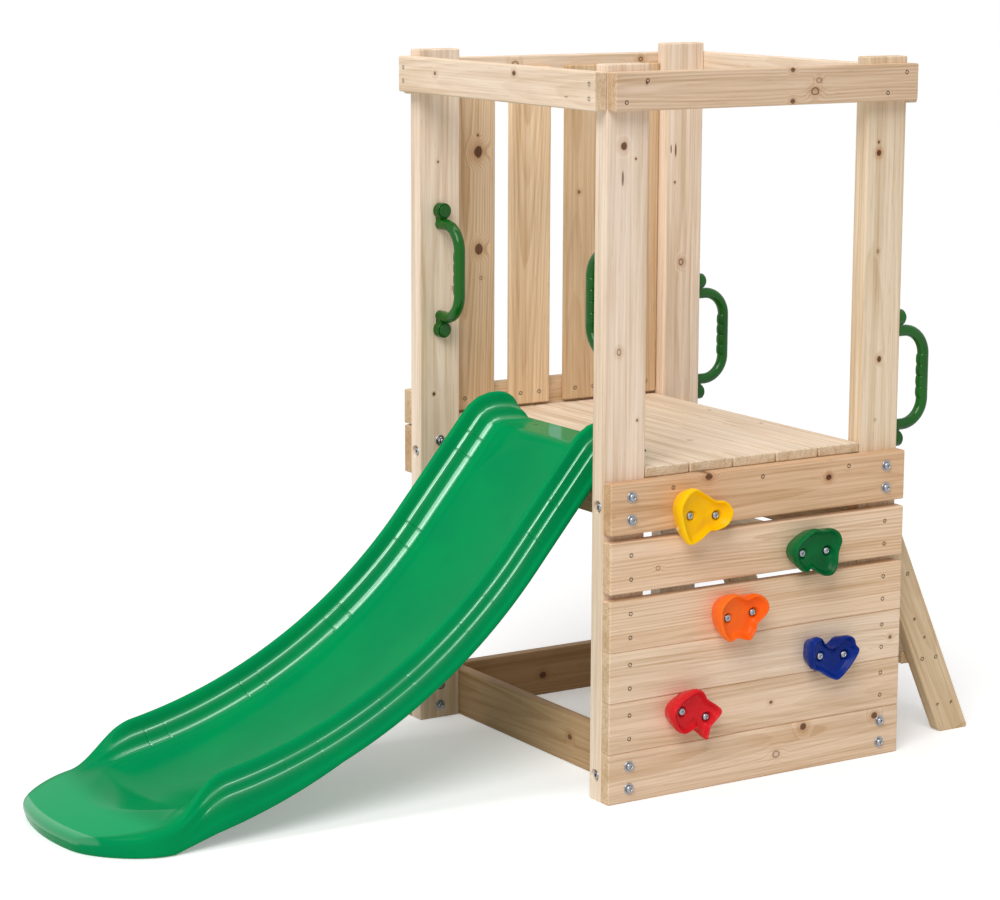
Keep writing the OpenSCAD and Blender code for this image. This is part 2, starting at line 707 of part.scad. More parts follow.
// Bowed handle on the plane X = 0, bowing to +X, with its bar along Z
module bow() {
    leg_z = handle_pitch / 2 - handle_leg;
    bar_z = leg_z - handle_bend;
    foot_w = 0.9 * handle_d;
    foot_h = 0.8 * pad_h;
    difference() {
        union() {
            translate([handle_reach, 0, -bar_z]) cylinder(h = 2 * bar_z, d = handle_d);
            for (i = [1 : wave_count])
                translate([handle_reach - wave_h, 0, (i - (wave_count + 1) / 2) * wave_step])
                    sphere(d = handle_d);
            for (side = [0, 1]) mirror([0, 0, side]) {
                translate([handle_reach - handle_bend, 0, bar_z]) rotate([90, 0, 0])
                    rotate_extrude(angle = 90) translate([handle_bend, 0]) circle(d = handle_d);
                translate([0, 0, leg_z]) rotate([0, 90, 0])
                    cylinder(h = handle_reach - handle_bend, d = handle_d);
                translate([0, 0, handle_pitch / 2]) rotate([0, 90, 0]) cylinder(h = pad_h, d = pad_d);
                translate([0, -foot_w / 2, leg_z]) cube([foot_h, foot_w, handle_leg]);
            }
        }
        for (side = [0, 1]) mirror([0, 0, side]) translate([0, 0, handle_pitch / 2]) rotate([0, 90, 0]) {
            translate([0, 0, -1]) cylinder(h = pad_h + 2, d = screw_d + 2 * fit_gap);
            translate([0, 0, pad_seat - screw_head_h])
                cylinder(h = screw_head_h, d1 = screw_d + 2 * fit_gap, d2 = screw_head_d + 2 * fit_gap);
            translate([0, 0, pad_seat]) cylinder(h = pad_h, d = screw_head_d + 2 * fit_gap);
        }
    }
}

module handle_place(side, end) {
    spot = end == front
        ? [side * (half_w - post_t), post_y(front), front_handle_z]
        : [side * post_x, frame_d, back_handle_z];
    translate(spot) rotate([0, 0, end == back ? 90 : side == right ? 180 : 0]) children();
}

module handle(side, end) {
    color(handle_green) handle_place(side, end) bow();
}

// Low cap with a sloping edge that covers the screw in a handle's pad
module cap() {
    rotate([0, 90, 0]) {
        cylinder(h = cap_h / 2, d = cap_d);
        translate([0, 0, cap_h / 2]) cylinder(h = cap_h / 2, d1 = cap_d, d2 = 0.85 * cap_d);
    }
}

module handle_caps() {
    color(handle_green)
        for (side = [left, right])
            for (end = [front, back])
                handle_place(side, end)
                    for (k = [-1, 1])
                        translate([pad_h, 0, k * handle_pitch / 2]) cap();
}

// Smooth closed curve through the outline points of a hold
curve_steps = 2;
function curve_point(p, i, t) =
    let (n = len(p), a = p[(i + n - 1) % n], b = p[i], c = p[(i + 1) % n], d = p[(i + 2) % n])
    b + t / 2 * (c - a + t * (2 * a - 5 * b + 4 * c - d + t * (3 * b - a - 3 * c + d)));
function smooth_outline(p) = [
    for (i = [0 : len(p) - 1])
    for (k = [0 : curve_steps - 1])
    curve_point(p, i, k / curve_steps)
];

module climbing_hold(h) {
    outline = smooth_outline(h[6]);
    mid = hold_mid(h);
    color(h[1]) difference() {
        translate([half_w + board_t, mid[0], mid[1]])
            loft([for (r = hold_rings) [for (p = outline) [r[1] * hold_h, r[0] * p[0], r[0] * p[1]]]]);
        bolt_holes(hold_bolt_list(h));
        for (f = hold_bolt_list(h)) seated(f) translate([0, 0, -hold_h]) cylinder(h = hold_h, d = pocket_d);
    }
}

// Tee nut: a barrel in the back of the wall board and a flange on its inner face
barrel_d = 10.5;
barrel_h = 12;
flange_d = 20;
flange_h = 1.6;
module tee_nuts() {
    color(zinc) for (f = all_hold_bolts) seated(f) translate([0, 0, f[2] - barrel_h]) {
        ring(barrel_h, barrel_d, bolt_d + 2 * fit_gap, 48);
        translate([0, 0, barrel_h]) ring(flange_h, flange_d, bolt_d + 2 * fit_gap, 48);
    }
}

module hold_bolts() {
    color(zinc) for (f = all_hold_bolts) seated(f) difference() {
        union() {
            translate([0, 0, -bolt_head_h]) cylinder(h = bolt_head_h, d = bolt_head_d);
            cylinder(h = f[2], d = bolt_d);
        }
        translate([0, 0, -bolt_head_h - 1]) cylinder(h = socket_h + 1, d = socket_af / cos(30), $fn = 6);
    }
}

module side_bolts() {
    bolts(short_bolts);
}

module ladder_bolts() {
    bolts(long_bolts);
}

module cross_bolts() {
    bolts(through_bolts);
}

module washers() {
    hole = bolt_d + 2 * fit_gap;
    color(zinc) for (f = all_bolts) seated(f) {
        translate([0, 0, -washer_t]) ring(washer_t, washer_d, hole, 48);
        translate([0, 0, f[2]]) ring(washer_t, washer_d, hole, 48);
    }
}

module nuts() {
    color(zinc) for (f = all_bolts) seated(f)
        translate([0, 0, f[2] + washer_t]) ring(nut_h, nut_af / cos(30), bolt_d + 2 * fit_gap, 6);
}

module frame_screws() {
    screws(frame_screw_list);
}

module slat_screws() {
    screws([for (i = [1 : slat_count]) each slat_screw_list(i)]);
}

module deck_screws() {
    screws([for (s = [left, right]) for (i = [1 : deck_count]) each deck_screw_list(s, i)]);
}

module tread_screws() {
    screws([for (s = [left, right]) for (i = [1 : tread_count]) each tread_screw_list(s, i)]);
}

module moulding_screws() {
    screws(concat(handle_screws, slide_screws));
}

// The frame is drawn with its origin on the floor, in the middle of its outer box
x_min = -half_w - max(rail_t, board_t + washer_t + bolt_head_h);
x_max = half_w + board_t + hold_h;
y_min = toe_y + (1 - nose_min) / 2 * toe_z * tan(exit_slope);
y_max = ladder_y(0) + rail_w / 2 / cos(ladder_lean);
module placed() {
    translate([-(x_min + x_max) / 2, -(y_min + y_max) / 2, 0]) children();
}

placed() post(left, front);  // post_front_left
placed() post(right, front);  // post_front_right
placed() post(left, back);  // post_back_left
placed() post(right, back);  // post_back_right
placed() end_rail(front);  // top_rail_front
placed() end_rail(back);  // top_rail_back
placed() side_rail(left);  // top_rail_left
placed() side_rail(right);  // top_rail_right
for (i = [1 : slat_count]) placed() slat(i);
placed() slat_rail();
placed() left_board(wall_count - 1);  // left_board_upper
placed() left_board(0);  // left_board_lower
for (i = [1 : wall_count]) placed() wall_board(i);
placed() cross_rail(front, wall_count - 1);  // cross_rail_front_upper
placed() cross_rail(front, 0);  // cross_rail_front_lower
placed() cross_rail(back, wall_count - 1);  // cross_rail_back_upper
placed() cross_rail(back, 0);  // cross_rail_back_lower
for (i = [1 : deck_count]) placed() deck_board(i);
placed() deck_cleat(left);  // deck_cleat_left
placed() deck_cleat(right);  // deck_cleat_right
placed() ladder_rail(left);  // ladder_rail_left
placed() ladder_rail(right);  // ladder_rail_right
for (i = [1 : tread_count]) placed() ladder_tread(i);
placed() slide();
placed() handle(left, front);  // handle_front_left
placed() handle(right, front);  // handle_front_right
placed() handle(left, back);  // handle_back_left
placed() handle(right, back);  // handle_back_right
placed() handle_caps();
for (h = holds) placed() climbing_hold(h);
placed() side_bolts();
placed() ladder_bolts();
placed() cross_bolts();
placed() washers();
placed() nuts();
placed() hold_bolts();
placed() tee_nuts();
placed() frame_screws();
placed() slat_screws();
placed() deck_screws();
placed() tread_screws();
placed() moulding_screws();
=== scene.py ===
import json
import math

import bmesh
import bpy
import numpy as np
from mathutils import Matrix, Vector

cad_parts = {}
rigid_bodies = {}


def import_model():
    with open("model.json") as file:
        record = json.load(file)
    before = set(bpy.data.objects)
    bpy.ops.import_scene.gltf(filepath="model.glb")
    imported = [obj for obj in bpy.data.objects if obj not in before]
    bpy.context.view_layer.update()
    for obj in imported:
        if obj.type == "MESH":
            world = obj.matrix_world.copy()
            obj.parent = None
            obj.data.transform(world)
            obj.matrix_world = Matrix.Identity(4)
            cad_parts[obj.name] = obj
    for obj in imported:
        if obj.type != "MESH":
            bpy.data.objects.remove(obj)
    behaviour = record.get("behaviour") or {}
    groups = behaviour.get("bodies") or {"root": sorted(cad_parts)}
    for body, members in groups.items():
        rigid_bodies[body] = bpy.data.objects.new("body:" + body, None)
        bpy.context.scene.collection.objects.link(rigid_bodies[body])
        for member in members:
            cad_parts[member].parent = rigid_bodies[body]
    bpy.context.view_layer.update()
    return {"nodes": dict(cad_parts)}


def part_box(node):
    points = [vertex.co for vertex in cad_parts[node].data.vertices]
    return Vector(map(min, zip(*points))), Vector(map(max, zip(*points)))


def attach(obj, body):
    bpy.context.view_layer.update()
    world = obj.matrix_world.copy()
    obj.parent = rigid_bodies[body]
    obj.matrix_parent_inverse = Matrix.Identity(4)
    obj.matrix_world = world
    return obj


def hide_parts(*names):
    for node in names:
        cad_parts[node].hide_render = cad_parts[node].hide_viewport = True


for spare in list(bpy.data.objects):  # the cube, lamp and camera of a new file
    bpy.data.objects.remove(spare)
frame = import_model()
nodes = frame["nodes"]
mm = 0.001  # sizes are written in millimetres, and meshes are in metres
weldGap = 1e-6  # points closer than this, in metres, become one
boxes = {name: np.array(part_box(name)) / mm for name in nodes}
print("frame loaded:", len(nodes), "nodes")


def low(name, axis):
    return boxes[name][0][axis]


def high(name, axis):
    return boxes[name][1][axis]


def middle(name, axis):
    return boxes[name][:, axis].mean()


def thickness(name, axis):
    return high(name, axis) - low(name, axis)


def outerFace(name, axis, sign):
    return high(name, axis) if sign > 0 else low(name, axis)


# Meshes

def gridShell(grid, wrapRows=False):
    # rows x columns x 3 points: each quad joins two neighbouring rows and two neighbouring columns, and
    # the last column joins the first
    rows, cols = grid.shape[:2]
    rowIndex = np.arange(rows if wrapRows else rows - 1)
    i, j = np.meshgrid(rowIndex, np.arange(cols), indexing="ij")
    iNext, jNext = (i + 1) % rows, (j + 1) % cols
    quads = np.stack([i * cols + j, i * cols + jNext, iNext * cols + jNext, iNext * cols + j], -1)
    return grid.reshape(-1, 3), quads.reshape(-1, 4)


def addPiece(name, shells, material, replaced, sharpAngle=40, attributes=None):
    # shells become one mesh, and attributes give each of its points a number
    starts = np.cumsum([0] + [len(points) for points, quads in shells])
    quads = np.concatenate([quads + start for (points, quads), start in zip(shells, starts)])
    points = np.concatenate([points for points, quads in shells]) * mm
    mesh = bpy.data.meshes.new(name)
    mesh.vertices.add(len(points))
    mesh.vertices.foreach_set("co", points.astype(np.float32).ravel())
    mesh.loops.add(4 * len(quads))
    mesh.loops.foreach_set("vertex_index", quads.astype(np.int32).ravel())
    mesh.polygons.add(len(quads))
    mesh.polygons.foreach_set("loop_start", np.arange(0, 4 * len(quads), 4, dtype=np.int32))
    mesh.update(calc_edges=True)
    for key, values in (attributes or {}).items():
        numbers = mesh.attributes.new(key, "FLOAT", "POINT").data
        numbers.foreach_set("value", values.astype(np.float32).ravel())
    shape = bmesh.new()  # poles and seams are closed, then every face is turned outwards
    shape.from_mesh(mesh)
    bmesh.ops.remove_doubles(shape, verts=shape.verts, dist=weldGap)
    bmesh.ops.recalc_face_normals(shape, faces=shape.faces)
    shape.to_mesh(mesh)
    shape.free()
    mesh.shade_smooth()
    mesh.set_sharp_from_angle(angle=math.radians(sharpAngle))
    mesh.materials.append(material)
    piece = bpy.data.objects.new(name, mesh)
    bpy.context.scene.collection.objects.link(piece)
    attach(piece, "root")
    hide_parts(*replaced)


def smoothLine(control, steps, closed=True):
    # every control point gives one parabola, from the middle of the side before it to the middle of the
    # side after it: (1-t)^2/2 of the point before, 1/2 + t(1-t) of the point, t^2/2 of the point after
    t = np.linspace(0, 1, steps, endpoint=False)[:, None]
    before, after = np.roll(control, 1, -2), np.roll(control, -1, -2)
    if not closed:
        before[..., 0, :], after[..., -1, :] = control[..., 0, :], control[..., -1, :]
    spans = (
        0.5 * (1 - t) ** 2 * before[..., None, :]
        + (0.5 + t * (1 - t)) * control[..., None, :]
        + 0.5 * t ** 2 * after[..., None, :]
    )
    line = spans.reshape(*control.shape[:-2], -1, control.shape[-1])
    return line if closed else np.concatenate([line, control[..., -1:, :]], -2)


def throughPoints(points, steps):
    # closed curve through its points: each span is a cubic whose slope at a point is half the step from
    # the point before it to the point after it
    t = np.linspace(0, 1, steps, endpoint=False)[:, None]
    a, b, c, d = (np.roll(points, shift, 0)[:, None, :] for shift in (1, 0, -1, -2))
    spans = b + t / 2 * (c - a + t * (2 * a - 5 * b + 4 * c - d + t * (3 * b - a - 3 * c + d)))
    return spans.reshape(-1, 2)


def ease(value):
    share = np.clip(value, 0, 1)
    return share * share * (3 - 2 * share)


def quarterRound(value):
    rest = 1 - np.clip(value, 0, 1)
    return np.sqrt(1 - rest * rest)


def turnedPath(lengths, turns, steps):
    # a plane path from its turning: the heading changes evenly along each stretch, and the place is the
    # running sum of the heading's cosine and sine
    marks = np.cumsum([0] + list(lengths))
    way = np.linspace(0, marks[-1], steps)
    heading = np.interp(way, marks, np.radians(turns))
    stride = np.diff(way)[:, None]
    ahead = np.stack([np.cos(heading), np.sin(heading)], -1)
    place = np.concatenate([[[0, 0]], np.cumsum((ahead[1:] + ahead[:-1]) / 2 * stride, 0)])
    return way, place, heading


latheSide = (0.31, 0.17, 0.93)  # any direction that no lathe axis has


def lathe(profile, seats, outs, sides, flats=()):
    # a profile of (radius, height) points turned about each seat's axis: seat + radius (cos, sin) + height
    # out; the rows named in flats have a hexagon's radius, its flat distance over cos of the angle from a
    # flat's middle
    turn = np.arange(sides) * 2 * np.pi / sides
    radius = np.repeat(np.array(profile)[:, :1], sides, 1)
    radius[list(flats)] *= 1 / np.cos(turn % (np.pi / 3) - np.pi / 6)
    height = np.array(profile)[:, 1:]
    shells = []
    for seat, out in zip(seats, outs):
        side = np.cross(out, latheSide)
        side /= np.linalg.norm(side)
        across = np.cross(out, side)
        ring = np.cos(turn)[:, None] * side + np.sin(turn)[:, None] * across
        shells.append(np.array(seat) + radius[..., None] * ring + height[..., None] * out)
    return shells


# Node helpers

def newMaterial(name):
    material = bpy.data.materials.new(name)
    material.use_nodes = True
    tree = material.node_tree
    tree.nodes.clear()
    output = tree.nodes.new("ShaderNodeOutputMaterial")
    shader = tree.nodes.new("ShaderNodeBsdfPrincipled")
    tree.links.new(shader.outputs["BSDF"], output.inputs["Surface"])
    return material, tree, shader


def plug(tree, socket, value):
    if isinstance(value, bpy.types.NodeSocket):
        tree.links.new(value, socket)
    else:
        socket.default_value = value


def calc(tree, operation, *values, kind="ShaderNodeMath"):
    node = tree.nodes.new(kind)
    node.operation = operation
    for socket, value in zip(node.inputs, values):
        plug(tree, socket, value)
    return node.outputs["Value" if operation == "LENGTH" else 0]


def vector(tree, operation, *values):
    return calc(tree, operation, *values, kind="ShaderNodeVectorMath")


def times(tree, first, second):
    return calc(tree, "MULTIPLY", first, second)


def timesPlus(tree, first, second, third):
    return calc(tree, "MULTIPLY_ADD", first, second, third)


def step(tree, value, start, end, first=0.0, last=1.0):
    node = tree.nodes.new("ShaderNodeMapRange")
    node.interpolation_type = "SMOOTHSTEP"
    names = ("Value", "From Min", "From Max", "To Min", "To Max")
    for name, number in zip(names, (value, start, end, first, last)):
        plug(tree, node.inputs[name], number)
    return node.outputs["Result"]


def noise(tree, place, waves, shift, detail=2.0, roughness=0.5):
    # noise with its own number of waves to the metre along each axis
    node = tree.nodes.new("ShaderNodeTexNoise")
    plug(tree, node.inputs["Vector"], vector(tree, "MULTIPLY_ADD", place, waves, shift))
    plug(tree, node.inputs["Scale"], 1.0)
    plug(tree, node.inputs["Detail"], detail)
    plug(tree, node.inputs["Roughness"], roughness)
    return node.outputs[0]


def mixed(tree, share, first, second, blend="MIX"):
    node = tree.nodes.new("ShaderNodeMix")
    node.data_type = "RGBA"
    node.blend_type = blend
    plug(tree, node.inputs[0], share)
    plug(tree, node.inputs[6], first)
    plug(tree, node.inputs[7], second)
    return node.outputs[2]


def bumped(tree, height, strength, distance):
    node = tree.nodes.new("ShaderNodeBump")
    plug(tree, node.inputs["Strength"], strength)
    plug(tree, node.inputs["Distance"], distance)
    plug(tree, node.inputs["Height"], height)
    return node.outputs["Normal"]


def objectPlace(tree):
    return tree.nodes.new("ShaderNodeTexCoord").outputs["Object"]


def attribute(tree, name):
    node = tree.nodes.new("ShaderNodeAttribute")
    node.attribute_name = name
    return node.outputs["Fac"]


def colour(red, green, blue):
    # screen colour 0 to 255 as the light it stands for
    share = np.array([red, green, blue]) / 255
    light = np.where(share <= 0.04045, share / 12.92, ((share + 0.055) / 1.055) ** 2.4)
    return (*np.clip(light, 0, 1).tolist(), 1.0)


def tinted(base, red, green, blue):
    return (base[0] * red, base[1] * green, base[2] * blue, 1.0)


# Timber: planed spruce boards with eased edges, growth rings, fibres and knots

timber = dict(
    edgeRound=3.0, endRound=2.6, footRound=8.0, roundSteps=5, flatStart=0.4, fineStep=0.8, endShare=0.96,
    recessRadius=11, recessDeep=8, anchorUp=54, anchorGap=33, anchorRadius=3, anchorDeep=12,
    sinkPast=1.6, sinkEdge=0.8, sharpAngle=30,
)

# Screen colour of each group of boards under plain light; the right top rail is darker by painted shade, and
# the lower left board and the cross rails are darker partly by painted shade from under the deck
timberTones = {
    "post_": (242, 224, 206), "post_back_right": (233, 215, 190), "top_rail": (235, 216, 195),
    # top_rail_right is darker than top_rail: painted shade
    "top_rail_right": (224, 198, 172), "slat_1": (224, 196, 164), "slat_2": (240, 212, 178),
    "slat_": (220, 192, 158), "slat_rail": (222, 198, 168), "wall_board_1": (221, 186, 152),
    "wall_board_2": (234, 206, 178), "wall_board_3": (233, 206, 178), "wall_board_4": (233, 211, 187),
    # left_board_lower and cross_rail are darker partly as painted shade from under the deck
    "wall_board": (229, 204, 178), "left_board": (214, 184, 150), "left_board_lower": (198, 164, 127),
    "cross_rail": (200, 166, 128), "deck_board": (235, 219, 200), "deck_cleat": (214, 186, 152),
    "ladder": (216, 194, 162),
}

# How strongly the growth rings show, and how far the middle of the tree lies from the board
timberGrain = {
    "post_": (0.30, 95), "top_rail": (0.34, 70), "top_rail_right": (0.55, 26), "slat_": (0.42, 60),
    "slat_1": (0.70, 20), "wall_board_1": (0.50, 55), "wall_board_2": (0.55, 17), "wall_board_3": (0.42, 24),
    "wall_board": (0.38, 50), "left_board": (0.5, 40), "cross_rail": (0.5, 40), "deck_board": (0.42, 38),
    "deck_cleat": (0.4, 50), "ladder": (0.36, 60),
}

# Knots: distance along the board from its low end, across it from its low edge, radius, darkness, kind
timberKnots = {
    "post_front_right": [
        (1134, 34, 7, 0.8, "blot"), (1112, 59, 1.8, 0.9, "blot"), (1080, 33, 7, 0.5, "streak"),
        (787, 29, 5, 0.7, "ring"), (667, 68, 2.5, 0.6, "blot"),
    ],
    "post_back_right": [
        (1120, 25, 3, 0.8, "blot"), (1101, 26, 6, 1.0, "blot"), (926, 30, 4, 0.7, "ring"),
        (731, 39, 5, 0.9, "blot"), (621, 34, 3, 0.5, "ring"),
    ],
    "post_back_left": [
        (1066, 11, 4, 0.9, "streak"), (1064, 22, 6, 0.8, "streak"), (1001, 21, 2.2, 0.8, "blot"),
        (844, 39, 6.5, 0.8, "ring"),
    ],
    "post_front_left": [
        (1063, 39, 2.5, 0.7, "blot"), (629, 30, 3.5, 0.9, "blot"), (826, 73, 4.5, 0.5, "ring"),
        (1245, 66, 4, 0.5, "streak"),
    ],
    "slat_1": [
        (488, 52, 11, 0.9, "blot"), (305, 55, 9, 0.8, "blot"), (519, 52, 3, 0.6, "blot"),
        (250, 60, 4, 0.5, "ring"),
    ],
    "slat_3": [(402, 30, 4, 0.6, "blot")],
    "top_rail_front": [(131, 39, 5, 0.6, "blot"), (396, 52, 5, 0.8, "blot"), (560, 20, 3, 0.4, "streak")],
    "top_rail_left": [(229, 49, 7, 0.7, "ring"), (517, 52, 6, 0.9, "ring")],
    "top_rail_back": [(178, 36, 5, 0.7, "blot"), (430, 22, 4, 0.5, "ring")],
    "top_rail_right": [
        (367, 60, 5, 0.7, "blot"), (368, 7, 5, 0.7, "blot"), (416, 23, 8, 0.7, "ring"),
        (424, 41, 5, 0.6, "ring"), (62, 46, 2.5, 0.7, "blot"),
    ],
    "wall_board_1": [(204, 84, 8, 0.8, "blot"), (468, 57, 6, 1.0, "blot")],
    "wall_board_2": [(99, 38, 5, 0.35, "ring")],
    "wall_board_4": [(619, 40, 4.5, 0.6, "blot")],
    "wall_board_5": [(349, 46, 3.5, 0.7, "blot")],
    "wall_board_6": [(423, 79, 8, 0.8, "blot"), (363, 38, 9, 0.4, "ring"), (587, 77, 7, 0.8, "blot")],
    "deck_board_5": [(228, 65, 4, 0.6, "blot"), (394, 62, 4, 0.6, "blot")],
    "deck_board_3": [(470, 32, 5, 0.5, "ring")],
    "ladder_rail_right": [(250, 30, 3, 0.7, "blot"), (205, 38, 3, 0.6, "blot")],
    "left_board_lower": [(300, 40, 8, 0.7, "blot"), (520, 60, 6, 0.6, "ring")],
    "cross_rail_front_lower": [(420, 50, 7, 0.7, "blot")],
    "cross_rail_back_upper": [(150, 30, 7, 0.7, "blot"), (480, 60, 6, 0.6, "blot")],
}

# Each kind of knot: its stretch, the reach of its core and halo, and how far it pushes the rings aside
knotKinds = {
    "blot": dict(stretch=(0.85, 1, 0), core=0.95, halo=3.2, push=1.5),
    "ring": dict(stretch=(0.8, 1, 0), core=0.95, halo=3.2, push=1.5),
    "streak": dict(stretch=(0.16, 1, 0), core=0.35, halo=1.8, push=0),
}
knotEdge = dict(
    wobble=0.9, coreStart=1.05, coreFull=0.7, haloFull=0.8, paleOut=0.72, paleIn=0.45, paleLeft=0.12,
    core=(104, 56, 24), deep=(52, 26, 10),
)

# Noise in the wood: waves to the metre along and across the board, detail, roughness
woodNoise = dict(
    wander=((1.4, 5, 5), 1.0, 0.5), wiggle=((9, 60, 60), 2.0, 0.5), fibre=((9, 420, 420), 3.0, 0.65),
    line=((2.0, 130, 130), 2.0, 0.6), streak=((1.1, 34, 34), 2.0, 0.5), cloud=((2.4, 9, 9), 2.0, 0.5),
    fleck=((26, 340, 340), 0.0, 0.5), pores=((500, 500, 500), 2.0, 0.5),
)

# Where each of them, and each ring, sets in and is full
woodSpans = dict(
    fibre=(0.35, 0.75), line=(0.40, 0.72), streak=(0.40, 0.68), cloud=(0.35, 0.68), fleck=(0.72, 0.80),
    pores=(0.35, 0.65), ringRise=(0.2, 0.88), ringFall=(1.0, 0.90),
)
woodShares = dict(line=0.38, streak=0.32, fibre=0.30, cloud=0.5, fleck=0.20, halo=0.70, end=0.9, edge=0.5)
woodTints = dict(
    early=(1.10, 1.10, 1.10), late=(0.74, 0.63, 0.49), fleck=(0.55, 0.42, 0.28), halo=(0.62, 0.40, 0.22),
)
woodFilters = dict(
    cloud=(0.97, 0.93, 0.87, 1.0), edge=(0.93, 0.87, 0.79, 1.0),
    endDark=(0.80, 0.77, 0.67, 1.0), endPale=(0.93, 0.90, 0.82, 1.0),
)
woodRings = dict(
    pitch=4.4, pitchSpread=(0.75, 1.35), wander=22, wiggle=1.8, pithAside=0.35, pithSpread=(0.8, 1.25),
    leanWide=0.02, leanDeep=0.03, weakest=0.25,
)
woodSkin = dict(
    seed=100, shift=40, roughness=0.60, lateRough=-0.08, fibreRough=0.10, specular=0.3, bump=0.25,
    bumpDepth=0.4, fibreBump=0.7, lateBump=0.5, endStart=1.0, endFull=0.2,
)


def closest(table, name):
    return table[max((key for key in table if name.startswith(key)), key=len)]


def ladderLean():
    treads = ("ladder_tread_1", "ladder_tread_3")
    lowest, highest = (np.array([middle(name, 1), middle(name, 2)]) for name in treads)
    rise = highest - lowest
    return math.atan2(-rise[0], rise[1])


def boardAxes(name):
    # a board's centre, its length and width directions, and its size along these and through its thickness
    size = boxes[name][1] - boxes[name][0]
    centre = boxes[name].mean(0)
    if name.startswith("ladder_rail"):
        lean = ladderLean()
        treadY, treadZ = middle("ladder_tread_2", 1), middle("ladder_tread_2", 2)
        centre[1] = treadY + (treadZ - centre[2]) * math.tan(lean)
        footY = (centre[2] - low(name, 2)) * math.tan(lean)
        width = 2 * (high(name, 1) - centre[1] - footY) * math.cos(lean)
        along = np.array([0, -math.sin(lean), math.cos(lean)])
        wide = np.array([0, math.cos(lean), math.sin(lean)])
        return centre, along, wide, np.array([size[2] / math.cos(lean), width, size[0]])
    order = np.argsort(-size)
    axes = np.eye(3)
    return centre, axes[order[0]], axes[order[1]], size[order]


def boardSinks(name):
    # round sinks: place along and across the board, the face they are in (0 and 2 are its narrow sides),
    # radius, depth
    centre, along, wide, size = boardAxes(name)
    if name.startswith("post_"):
        end = name.split("_")[1]
        face = 2 if end == "front" else 0
        levels = [middle("cross_rail_%s_%s" % (end, level), 2) - centre[2] for level in ("upper", "lower")]
        return [(level, 0, face, timber["recessRadius"], timber["recessDeep"]) for level in levels]
    if name.startswith("ladder_rail"):
        down = centre[2] - timber["anchorUp"]
        aside = down * math.tan(ladderLean())
        holes = [np.array([0, aside + k * timber["anchorGap"] / 2, -down]) for k in (-1, 1)]
        return [
            (hole @ along, hole @ wide, face, timber["anchorRadius"], timber["anchorDeep"])
            for hole in holes for face in (1, 3)
        ]
    return []


def boardLoop(width, thick, fineFaces):
    # once round the section: a point inside each stretch of the surface, and the direction from it to the
    # surface
    halfWide, halfThick = width / 2 - timber["edgeRound"], thick / 2 - timber["edgeRound"]
    seats, aims, faces = [], [], []
    for face in range(4):
        turn = face * math.pi / 2
        out = np.array([math.cos(turn), math.sin(turn)])
        run = np.array([-math.sin(turn), math.cos(turn)])
        halfOut, halfRun = (halfWide, halfThick) if face % 2 == 0 else (halfThick, halfWide)
        reach = halfRun - timber["flatStart"]
        count = int(2 * reach / timber["fineStep"]) if face in fineFaces else 2
        marks = np.linspace(-reach, reach, count)[:, None]
        bend = turn + np.linspace(0, math.pi / 2, timber["roundSteps"] + 1)
        seats += [halfOut * out + marks * run, np.repeat([halfOut * out + halfRun * run], len(bend), 0)]
        aims += [np.repeat([out], count, 0), np.stack([np.cos(bend), np.sin(bend)], -1)]
        faces += [np.full(count, face), np.full(len(bend), -1)]
    return np.concatenate(seats), np.concatenate(aims), np.concatenate(faces)


def boardEnds(name, across):
    # the low and high end of the board at a place across it: square, or for a ladder rail level with the
    # floor and the deck, with rounded foot corners and the corner against the deck cut upright
    centre, along, wide, size = boardAxes(name)
    if not name.startswith("ladder_rail"):
        return np.full_like(across, -size[0] / 2), np.full_like(across, size[0] / 2)
    lean, r = ladderLean(), timber["footRound"]
    foot = (low(name, 2) - centre[2] - across * math.sin(lean)) / math.cos(lean)
    past = np.clip(np.abs(across) - (size[1] / 2 - r), 0, r)
    foot = foot + r - np.sqrt(r * r - past * past)
    level = (high(name, 2) - centre[2] - across * math.sin(lean)) / math.cos(lean)
    upright = (centre[1] + across * math.cos(lean) - low(name, 1)) / math.sin(lean)
    return foot, np.minimum(level, upright)


def sinkMarks(sinks):
    # close rows of points along the board, across every sink and a little past its edge
    rows = [np.zeros(0)]
    for along, across, face, radius, depth in sinks:
        reach, stride = radius + timber["sinkPast"], timber["fineStep"]
        rows.append(along + np.arange(-reach, reach + stride / 8, stride))
    return np.unique(np.concatenate(rows).round(2))


def boardShell(name):
    # the section carried along the board; at its ends it draws in by the end round times 1 - sin while it
    # goes out by the end round times cos, and inside a sink the surface goes in by the sink's depth
    centre, along, wide, size = boardAxes(name)
    sinks = boardSinks(name)
    seats, aims, faces = boardLoop(size[1], size[2], {sink[2] for sink in sinks})
    bend = np.linspace(0, math.pi / 2, timber["roundSteps"] + 1)
    e = timber["endRound"]
    share = np.concatenate([[0, timber["endShare"]], np.ones(len(bend) + 1)])
    inset = np.concatenate([[e, e], e * (1 - np.sin(bend)), [0]])
    back = np.concatenate([[0, 0], e * (1 - np.cos(bend)), [e + timber["flatStart"]]])
    marks = sinkMarks(sinks)
    rowShare = np.concatenate([share, np.ones(len(marks)), share[::-1]])[:, None, None]
    rowInset = np.concatenate([inset, 0 * marks, inset[::-1]])[:, None, None]
    flat = rowShare * (seats + (timber["edgeRound"] - rowInset) * aims)
    foot, top = boardEnds(name, flat[..., 0])
    ends = len(share)
    between = np.repeat(marks[:, None], len(seats), 1)
    place = np.concatenate([foot[:ends] + back[:, None], between, top[-ends:] - back[::-1, None]])
    for alongSink, acrossSink, face, radius, depth in sinks:
        run = flat[..., 1] if face % 2 == 0 else flat[..., 0]
        away = np.hypot(place - alongSink, run - acrossSink)
        inside = (1 - ease((away - radius) / timber["sinkEdge"] + 0.5)) * (faces == face)
        flat = flat - (depth * inside)[..., None] * aims
    thick = np.cross(along, wide)
    return gridShell(centre + place[..., None] * along + flat[..., :1] * wide + flat[..., 1:] * thick)


